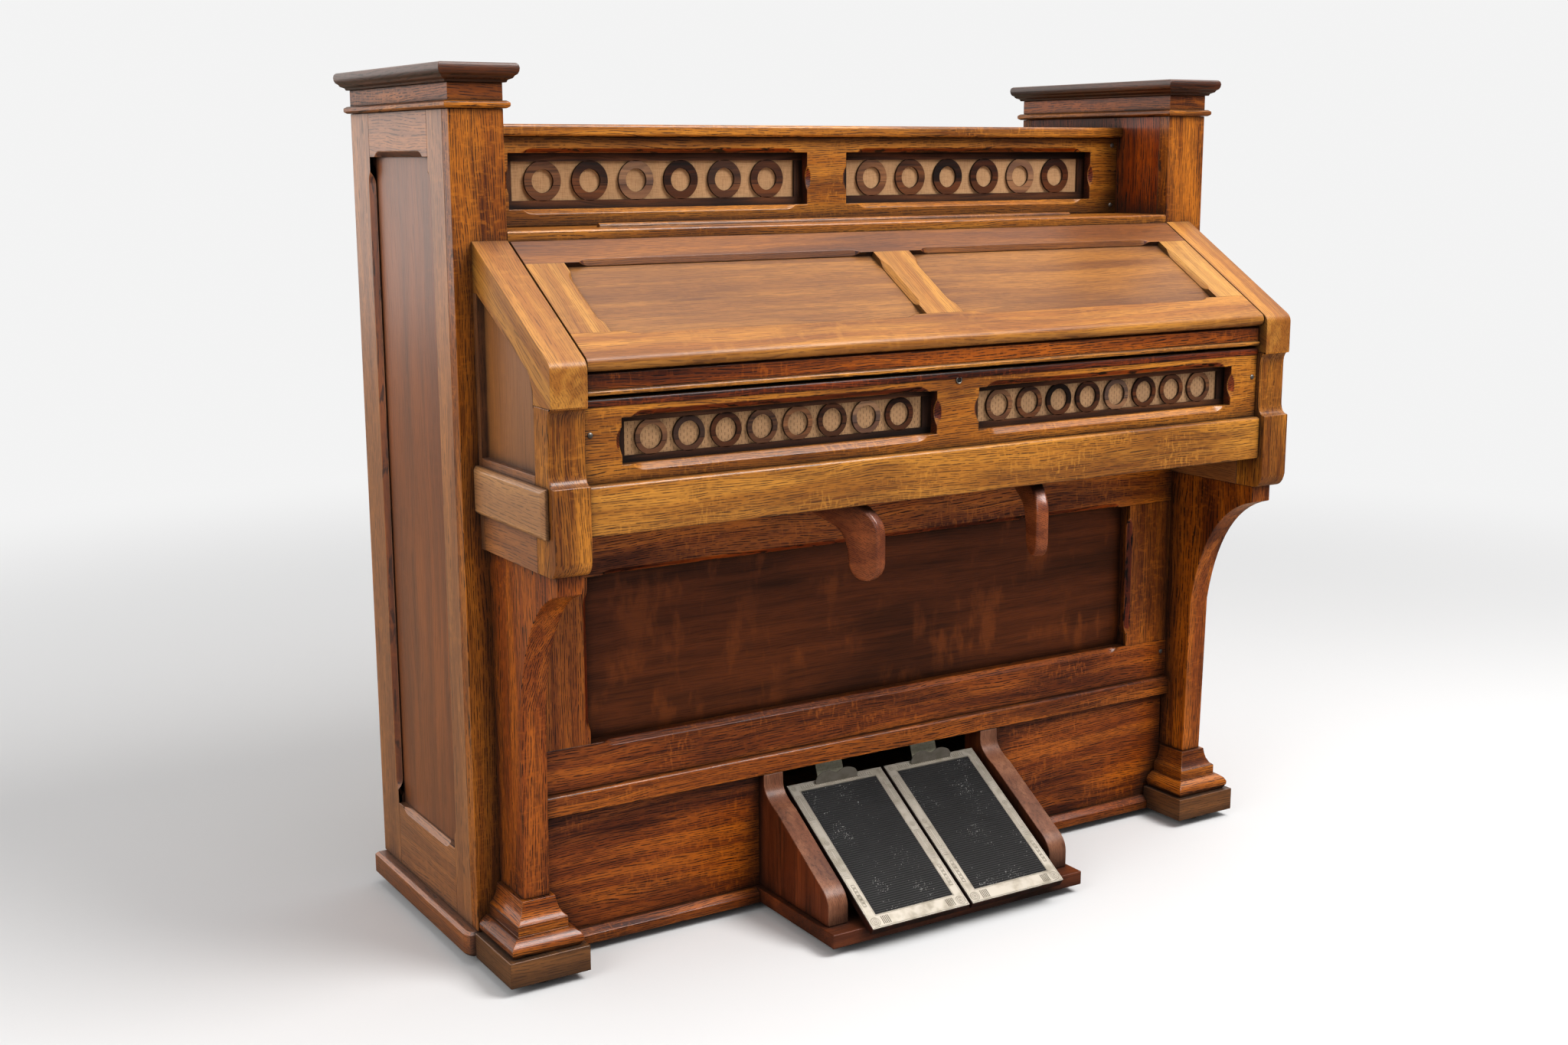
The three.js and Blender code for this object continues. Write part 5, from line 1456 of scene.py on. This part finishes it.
@dataclass
class DrawStops:
    """Five turned knobs with a plain pale face."""

    radius: float = 9.0
    taper: float = 0.94
    thickness: float = 0.8
    segments: int = 32
    count: int = 5

    def build(self, shop: Workshop) -> None:
        """Dress the knobs and add their faces."""
        for k in range(1, self.count + 1):
            name = f"draw_stop_{k}"
            shop.build(name, [Board(Grain.DEEP, Finish.EBONY, edge=0.0)], "ebony")
            low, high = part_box(name)
            centre = Vector(((low.x + high.x) / 2.0, low.y, (low.z + high.z) / 2.0))
            form = bmesh.new()
            bmesh.ops.create_cone(
                form, cap_ends=True, segments=self.segments, radius1=self.radius * MM,
                radius2=self.radius * MM * self.taper, depth=self.thickness * MM,
                matrix=Matrix.Translation(centre) @ Matrix.Rotation(math.pi / 2.0, 4, "X"))
            face = shop.add(name + "_face", to_mesh(form, name + "_face", shop.palette.ivory))
            shop.hand_over(face, shop.body_of(name))


@dataclass
class Treadles:
    """The pedal box and its two treadles: boards, pressed nickel frames, rubber mats and straps.

    The drawings of the mats and of the pressed pattern are flat: x across the treadle from its
    middle, y along it from its heel's pivot, z above it.
    """

    # A treadle: its pivot, its outline, the bands of its nickel frame and the mat's bed.
    pivot: Span = (-223.5, 31.5)
    gap: float = 3.0
    width: float = 153.0
    heel: float = 10.8
    toe: float = 234.0
    side: float = 15.0
    toe_band: float = 13.0
    heel_band: float = 20.0
    floor: float = 9.3
    binding: float = 2.0
    # The rubber mat: its play in the frame, its sheet and its ribs.
    play: float = 0.6
    mat_sheet: float = 1.9
    ribs: int = 62
    rib_middle: float = 1.7
    rib_share: float = 0.34
    rib_inset: float = 0.8
    rib_steps: int = 8
    # The pressed lines: how far they rise and how wide they are.
    rise: float = 0.42
    band_line: float = 0.7
    frame_line: float = 0.8
    tick_line: float = 0.5
    # The row of small upright bars on the toe band.
    dentil: Span = (1.6, 5.4)
    dentil_reach: float = 56.0
    dentil_pitch: float = 3.5
    # The lines round the frame and the double frames on its side bands.
    outer_inset: float = 1.4
    inner_inset: float = 1.2
    frame_inset: float = 3.4
    frame_step: float = 2.3
    frames: tuple[Span, ...] = ((172.0, 214.0), (84.0, 120.0))
    # The bars and squares between the double frames, the circles, and the ticks at the heel.
    bars: int = 4
    bar_pitch: float = 3.2
    bar_start: Span = (4.0, 2.4)
    bar_taper: float = 0.5
    square_start: float = 24.0
    square: float = 4.6
    square_pitch: float = 6.2
    squares: int = 6
    corner_spot: Span = (9.0, 9.6)
    corner_circles: tuple[float, ...] = (6.4, 4.0, 1.6)
    middle_along: float = 131.0
    middle_circles: Span = (3.6, 1.5)
    toe_inset: float = 7.0
    toe_circles: Span = (3.4, 1.4)
    circle_steps: int = 20
    ticks: int = 5
    tick_half: float = 0.3
    tick_inset: float = 4.0
    tick_start: float = 20.0
    tick_pitch: float = 2.6

    def lay(self, piece: Thing, centre: float, above: float) -> None:
        """Take a flat drawing to its place above a treadle.

        Args:
            piece: The drawing.
            centre: The middle of the treadle in x.
            above: How far above the treadle's plane it lies.
        """
        cos, sin = math.cos(TREADLE_SLOPE), math.sin(TREADLE_SLOPE)
        axes = Matrix(((1.0, 0.0, 0.0), (0.0, cos, -sin), (0.0, sin, cos)))
        start = place(centre, self.pivot[0] - above * sin, self.pivot[1] + above * cos)
        piece.data.transform(Matrix.Translation(start) @ axes.to_4x4())

    def mat_piece(self, shop: Workshop, name: str) -> Thing:
        """Draw a ribbed mat: a sheet with ribs laid across it by Geometry Nodes."""
        half = self.width / 2.0 - self.side - self.play
        start = self.heel_band - self.heel + self.play
        end = self.toe - self.toe_band - self.play
        pitch = (end - start) / self.ribs
        mat = Pattern(name + "_ribs", {
            "Count": self.ribs, "Pitch": pitch * MM, "Width": (half * 2.0 - self.rib_inset) * MM,
            "Rib": pitch * self.rib_share * MM, "Base": self.rib_middle * MM})
        reach = mat.mul(mat["Width"], 0.5)
        line = mat.put("CurvePrimitiveLine", {
            "Start": mat.combine(mat.mul(reach, -1.0)), "End": mat.combine(reach)})
        circle = mat.put("CurvePrimitiveCircle", {
            "Resolution": self.rib_steps, "Radius": mat["Rib"]})
        rib = mat.put("CurveToMesh", {"Curve": line, "Profile Curve": circle, "Fill Caps": True})
        first = mat.combine(0.0, mat.mad(mat["Pitch"], 0.5, start * MM), mat["Base"])
        row = mat.scatter(mat.line(first, mat.combine(0.0, mat["Pitch"])), rib)
        both = mat.node("JoinGeometry")
        for part in (mat.put("SetShadeSmooth", {"Geometry": row}), mat["Geometry"]):
            mat.tree.links.new(part, both.inputs[0])
        sheet = box_mesh(name, (-half, half), (start, end), (0.0, self.mat_sheet),
                         lambda x, y, z: Vector((x, y, z)) * MM)
        return mat.run(shop, name, sheet, both.outputs[0], shop.palette.rubber)

    def dentils(self, shop: Workshop, name: str) -> Thing:
        """Draw the row of small upright bars along the toe band with Geometry Nodes."""
        row = Pattern(name, {
            "Count": int(2.0 * self.dentil_reach / self.dentil_pitch) + 1,
            "Pitch": self.dentil_pitch * MM, "Width": self.dentil[0] * MM,
            "Length": self.dentil[1] * MM, "Rise": 2.0 * self.rise * MM})
        size = row.combine(row["Width"], row["Length"], row["Rise"])
        start = Vector((-self.dentil_reach, self.toe - self.toe_band / 2.0, 0.0)) * MM
        bars = row.scatter(row.line(start, row.combine(row["Pitch"])),
                           row.put("MeshCube", {"Size": size}))
        return row.run(shop, name, points_mesh(name, [Vector()]), bars, shop.palette.nickel)

    def ridge(self, form: Form, path: Path, wide: float) -> None:
        """Add a raised line along a closed path.

        Args:
            form: The form that takes the line.
            path: Corners of the path as (across, along), anticlockwise.
            wide: Width of the line.
        """
        count = len(path)
        loops: list[list[bmesh.types.BMVert]] = [[], [], []]
        for k, (x, y) in enumerate(path):
            back, ahead = path[k - 1], path[(k + 1) % count]
            before = Vector((x - back[0], y - back[1])).normalized()
            after = Vector((ahead[0] - x, ahead[1] - y)).normalized()
            side = Vector((before.y + after.y, -before.x - after.x)).normalized()
            reach = wide / 2.0 / max(0.4, side.dot(Vector((before.y, -before.x))))
            for loop, shift, lift in zip(loops, (reach, 0.0, -reach), (0.0, self.rise, 0.0)):
                spot = Vector((x + side.x * shift, y + side.y * shift, lift))
                loop.append(form.verts.new(spot * MM))
        for k in range(count):
            after_k = (k + 1) % count
            for near, far in ((0, 1), (1, 2), (2, 0)):
                form.faces.new((loops[near][k], loops[near][after_k],
                                loops[far][after_k], loops[far][k]))

    def oblong(self, form: Form, x: Span, y: Span, wide: float) -> None:
        """Add a raised line round an oblong."""
        self.ridge(form, ((x[0], y[0]), (x[1], y[0]), (x[1], y[1]), (x[0], y[1])), wide)

    def bar(self, form: Form, x: Span, y: Span) -> None:
        """Add a small raised bar with a roof-shaped top, its length in x."""
        low = [form.verts.new(Vector((a, b, 0.0)) * MM)
               for a, b in ((x[0], y[0]), (x[1], y[0]), (x[1], y[1]), (x[0], y[1]))]
        middle = (y[0] + y[1]) / 2.0
        top = [form.verts.new(Vector((a, middle, self.rise)) * MM)
               for a in (x[0] + self.bar_taper, x[1] - self.bar_taper)]
        for corners in ((low[3], low[2], low[1], low[0]), (low[0], low[1], top[1], top[0]),
                        (low[2], low[3], top[0], top[1]), (low[1], low[2], top[1]),
                        (low[3], low[0], top[0])):
            form.faces.new(corners)

    def side_lines(self, form: Form, sign: float) -> None:
        """Draw one side band: double frames with bars, squares, circles and ticks.

        Args:
            form: The form that takes the lines.
            sign: 1 for the right band and -1 for the left one.
        """
        half = self.width / 2.0
        near, far = sorted((sign * (half - self.frame_inset),
                            sign * (half - self.side + self.frame_inset)))
        middle = (near + far) / 2.0
        for low, high in self.frames:
            for inset in (0.0, self.frame_step):
                self.oblong(form, (near + inset, far - inset), (low + inset, high - inset),
                            self.frame_line)
            for k in range(self.bars):
                start, end = (low - edge - self.bar_pitch * k for edge in self.bar_start)
                self.bar(form, (near, far), (start, end))
        for k in range(self.squares):
            low = self.square_start + self.square_pitch * k
            self.oblong(form, (middle - self.square / 2.0, middle + self.square / 2.0),
                        (low, low + self.square), self.frame_line)
        corner = (sign * (half - self.corner_spot[0]), self.corner_spot[1] - self.heel)
        turns = [2.0 * math.pi * k / self.circle_steps for k in range(self.circle_steps)]
        for (x, y), radii in ((corner, self.corner_circles),
                              ((middle, self.middle_along), self.middle_circles),
                              ((middle, self.toe - self.toe_inset), self.toe_circles)):
            for radius in radii:
                path = [(x + radius * math.cos(turn), y + radius * math.sin(turn))
                        for turn in turns]
                self.ridge(form, path, self.band_line)
        for k in range(self.ticks):
            edge = sign * (half - self.tick_start - self.tick_pitch * k)
            self.oblong(form, (edge - self.tick_half, edge + self.tick_half),
                        (self.tick_inset - self.heel,
                         self.heel_band - self.heel - self.tick_inset), self.tick_line)

    def ornament(self, shop: Workshop, name: str) -> Thing:
        """Draw the pressed pattern of the nickel frame."""
        half, inset = self.width / 2.0, self.outer_inset
        form = bmesh.new()
        self.oblong(form, (inset - half, half - inset), (inset - self.heel, self.toe - inset),
                    self.band_line)
        reach = half - self.side + self.inner_inset
        self.oblong(form, (-reach, reach),
                    (self.heel_band - self.heel - self.inner_inset,
                     self.toe - self.toe_band + self.inner_inset), self.band_line)
        for sign in (-1.0, 1.0):
            self.side_lines(form, sign)
        bmesh.ops.recalc_face_normals(form, faces=form.faces)
        lines = shop.add(name + "_lines", to_mesh(form, name + "_lines", shop.palette.nickel))
        return shop.join(name, [lines, self.dentils(shop, name + "_dentils")])

    def build(self, shop: Workshop) -> None:
        """Build the pedal box and both treadles."""
        shop.build("pedal_floor", [Board(Grain.ACROSS, Finish.PEDAL, edge=1.2)])
        shop.pair("pedal_cheek", [Board(Grain.UPRIGHT, Finish.PEDAL, edge=1.6)])
        for side in ("left", "right"):
            shop.repaint(f"pedal_cheek_{side}_joinery", Finish.TREAD,
                         lambda face: abs(face.normal.x) < 0.5)
        for sign, side in ((1.0, "right"), (-1.0, "left")):
            centre = sign * (self.gap + self.width / 2.0)
            body = shop.body_of(f"treadle_mat_{side}")
            shop.build(f"treadle_board_{side}",
                       [Board(Grain.TREADLE, Finish.PEDAL, tone=-0.6, edge=0.5)], "dark_oak")
            shop.dress(f"treadle_binding_{side}", shop.palette.nickel)
            mat = self.mat_piece(shop, f"treadle_ribbed_mat_{side}")
            self.lay(mat, centre, self.floor)
            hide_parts(f"treadle_mat_{side}")
            shop.hand_over(mat, body)
            ornament = self.ornament(shop, f"treadle_ornament_{side}")
            self.lay(ornament, centre, self.floor + self.binding)
            shop.hand_over(ornament, body)
            shop.dress(f"treadle_strap_{side}", shop.palette.webbing)


@dataclass
class SmallParts:
    """The knee levers, the cloths behind the frets, the keyhole and the frame's top moulding.

    Attributes:
        ring: Section of the keyhole's ring as (radius, height).
        disc: Radius of the disc of painted shade inside the ring.
        disc_lift: Height of the disc.
        steps: Number of sides of the ring.
        moulding: Section of the frame's top moulding as (y from its front, z from its top).
    """

    ring: tuple[Span, ...] = ((4.6, 0.0), (4.6, 0.9), (4.1, 1.3), (3.3, 0.9), (3.3, 0.0))
    disc: float = 3.432
    disc_lift: float = 0.35
    steps: int = 32
    moulding: tuple[Span, ...] = (
        (0.0, -9.6), (-0.9, -9.2), (-1.6, -7.6), (-1.9, -5.4), (-1.8, -3.2), (-1.1, -1.2),
        (0.0, -0.3))

    def keyhole(self, shop: Workshop) -> None:
        """Make the steel ring of the keyhole with a disc of painted shade for the hole inside it.
        """
        node = "keyhole_escutcheon"
        low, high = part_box(node)
        centre = Vector(((low.x + high.x) / 2.0, high.y, (low.z + high.z) / 2.0))
        form = bmesh.new()

        def circle(radius: float, lift: float) -> list[bmesh.types.BMVert]:
            """Add the points of a circle round the keyhole."""
            turns = [2.0 * math.pi * k / self.steps for k in range(self.steps)]
            return [form.verts.new(centre + MM * Vector(
                (radius * math.sin(turn), -lift, radius * math.cos(turn)))) for turn in turns]

        loops = [circle(*row) for row in self.ring]
        for near, far in zip(loops, loops[1:] + loops[:1]):
            for k in range(self.steps):
                after = (k + 1) % self.steps
                form.faces.new((near[k], near[after], far[after], far[k]))
        rim = len(form.faces)
        # The hole is a thin flat disc of painted shade inside the ring.
        disc, back = circle(self.disc, self.disc_lift), circle(self.disc, 0.0)
        form.faces.new(disc)
        form.faces.new(list(reversed(back)))
        for k in range(self.steps):
            after = (k + 1) % self.steps
            form.faces.new((disc[k], back[k], back[after], disc[after]))
        bmesh.ops.recalc_face_normals(form, faces=form.faces)
        form.faces.ensure_lookup_table()
        for face in form.faces[rim:]:
            face.material_index = 1
        mesh = to_mesh(form, "keyhole_ring", shop.palette.steel, shop.palette.shadow)
        piece = shop.smooth(shop.add("keyhole_ring", mesh), 50.0)
        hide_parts(node)
        shop.hand_over(piece, shop.body_of(node))

    def top_moulding(self, shop: Workshop) -> None:
        """Lay the thin rounded moulding along the top of the front frame."""
        node = "front_fret_frame"
        low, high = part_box(node)
        front, top = (low.y - DEPTH_ZERO) / MM, high.z / MM
        board = Board(
            Grain.ACROSS, tone=-0.8, x=(low.x / MM + 1.0, high.x / MM - 1.0),
            outline=tuple((front + y, top + z) for y, z in reversed(self.moulding)))
        piece = shop.prism("front_frame_moulding", board)
        shop.mark(piece.data, board)
        shop.hand_over(shop.smooth(piece, 50.0), shop.body_of(node))

    def build(self, shop: Workshop) -> None:
        """Build the levers and dress the cloths and the escutcheon."""
        shop.pair("knee_lever", [Board(Grain.DEEP, Finish.LEVER, edge=0.0)])
        shop.dress("upper_fret_cloth", shop.palette.linen)
        shop.dress("front_fret_cloth", shop.palette.flecked)
        self.keyhole(shop)
        self.top_moulding(shop)


@dataclass
class Studio:
    """The pale floor, the soft lights, the world and the camera."""

    eye: Point = (-1412.1, -2063.4, 999.0)
    yaw: float = math.radians(31.65)
    pitch: float = math.radians(11.155)
    roll: float = math.radians(-0.196)
    focal: float = 2423.49
    image_width: float = 2048.0
    sensor: float = 36.0
    clip_end: float = 60.0
    floor_half: float = 9.0
    aim: Point = (0.0, 60.0, 560.0)
    lights: tuple[tuple[str, Point, float, float], ...] = (
        ("key", (1300.0, -1900.0, 3200.0), 1.8, 118.0),
        ("fill", (-3300.0, -1200.0, 2100.0), 2.6, 44.0),
        ("top", (300.0, -300.0, 3600.0), 3.2, 42.0))

    def camera(self) -> None:
        """Put the camera where the photograph was taken."""
        lens = bpy.data.cameras.new("photo_camera")
        lens.sensor_width = self.sensor
        lens.lens = self.sensor * self.focal / self.image_width
        lens.clip_end = self.clip_end
        holder = bpy.data.objects.new("photo_camera", lens)
        bpy.context.scene.collection.objects.link(holder)
        level = math.cos(self.pitch)
        forward = Vector((math.sin(self.yaw) * level, math.cos(self.yaw) * level,
                          -math.sin(self.pitch)))
        right = Vector((math.cos(self.yaw), -math.sin(self.yaw), 0.0))
        turn = Matrix((right, right.cross(forward), -forward)).transposed()
        turn = turn @ Matrix.Rotation(self.roll, 3, "Z")
        holder.matrix_world = Matrix.Translation(place(*self.eye)) @ turn.to_4x4()
        bpy.context.scene.camera = holder

    def lamps(self) -> None:
        """Hang the soft lights and aim them at the organ."""
        for name, spot, size, power in self.lights:
            lamp = bpy.data.lights.new(name, "AREA")
            lamp.shape = "DISK"
            lamp.size = size
            lamp.energy = power
            holder = bpy.data.objects.new(name, lamp)
            bpy.context.scene.collection.objects.link(holder)
            start = place(*spot)
            turn = (place(*self.aim) - start).to_track_quat("-Z", "Y").to_matrix()
            holder.matrix_world = Matrix.Translation(start) @ turn.to_4x4()

    def world(self) -> None:
        """Make the surroundings soft for the light and pale for the camera."""
        world = bpy.data.worlds.new("studio")
        world.use_nodes = True
        bpy.context.scene.world = world
        wires = Wiring(world.node_tree)
        ramp = wires.ramp
        light = world.node_tree.nodes["Background"]
        wires.feed(light, {"Color": (0.95, 0.97, 1.0, 1.0), "Strength": 0.36})
        seen = wires.node("Background", {"Color": (0.9, 0.9, 0.9, 1.0), "Strength": 1.0})
        heading = wires.split(wires.node("TexCoord").outputs["Generated"])
        lift = wires.mad(heading[2], 0.75, heading[1])
        wall = wires.blend(ramp(lift, -0.15, 0.6), (0.1, 0.092, 0.085, 1.0), (1.1, 1.03, 0.98, 1.0))
        beside = wires.mad(ramp(heading[0], -0.25, -0.6), 1.1, 1.0)
        above = wires.mul(ramp(heading[2], 0.55, 0.75), ramp(heading[1], 0.02, -0.12))
        room = wires.node("Background", {
            "Color": wall, "Strength": wires.mad(above, 3.0, beside)})
        path = wires.node("LightPath").outputs
        shine = wires.mixed(path["Is Glossy Ray"], light, room)
        direct = wires.math("MAXIMUM", path["Is Camera Ray"], path["Is Transmission Ray"])
        surface = wires.mixed(direct, shine, seen).outputs[0]
        wires.feed(world.node_tree.nodes["World Output"], {"Surface": surface})

    def ground(self, shop: Workshop) -> None:
        """Lay the pale floor."""
        form = bmesh.new()
        bmesh.ops.create_grid(form, x_segments=1, y_segments=1, size=self.floor_half)
        shop.add("studio_floor", to_mesh(form, "studio_floor", shop.palette.floor))

    def build(self, shop: Workshop) -> None:
        """Set up the whole studio."""
        self.camera()
        self.lamps()
        self.world()
        self.ground(shop)
        bpy.context.scene.view_settings.view_transform = "Standard"


def main() -> None:
    """Build every sub-assembly in order."""
    logging.basicConfig(level=logging.INFO, format="%(name)s: %(message)s")
    shop = Workshop(Palette())
    upper = RingPanel("upper_fret", 128.7, 32.0, 472.0, (935.0, 1004.5), rail=10.4, lap=12.0,
                      count=6, end=54.0, radius=25.4, hole=15.0)
    front = RingPanel("front_fret", -177.3, 33.0, 475.0, (655.3, 709.8), rail=7.4, lap=6.0,
                      count=8, end=46.0, radius=21.0, hole=14.6)
    for part in (Studio(), Towers(), Cheeks(), LegsAndBase(), CaseBoards(), Lid(), Keyboard(),
                 DrawStops(), Treadles(), SmallParts(), Screws(), upper, front):
        LOG.info("building %s", type(part).__name__)
        part.build(shop)


if __name__ == "__main__":
    main()
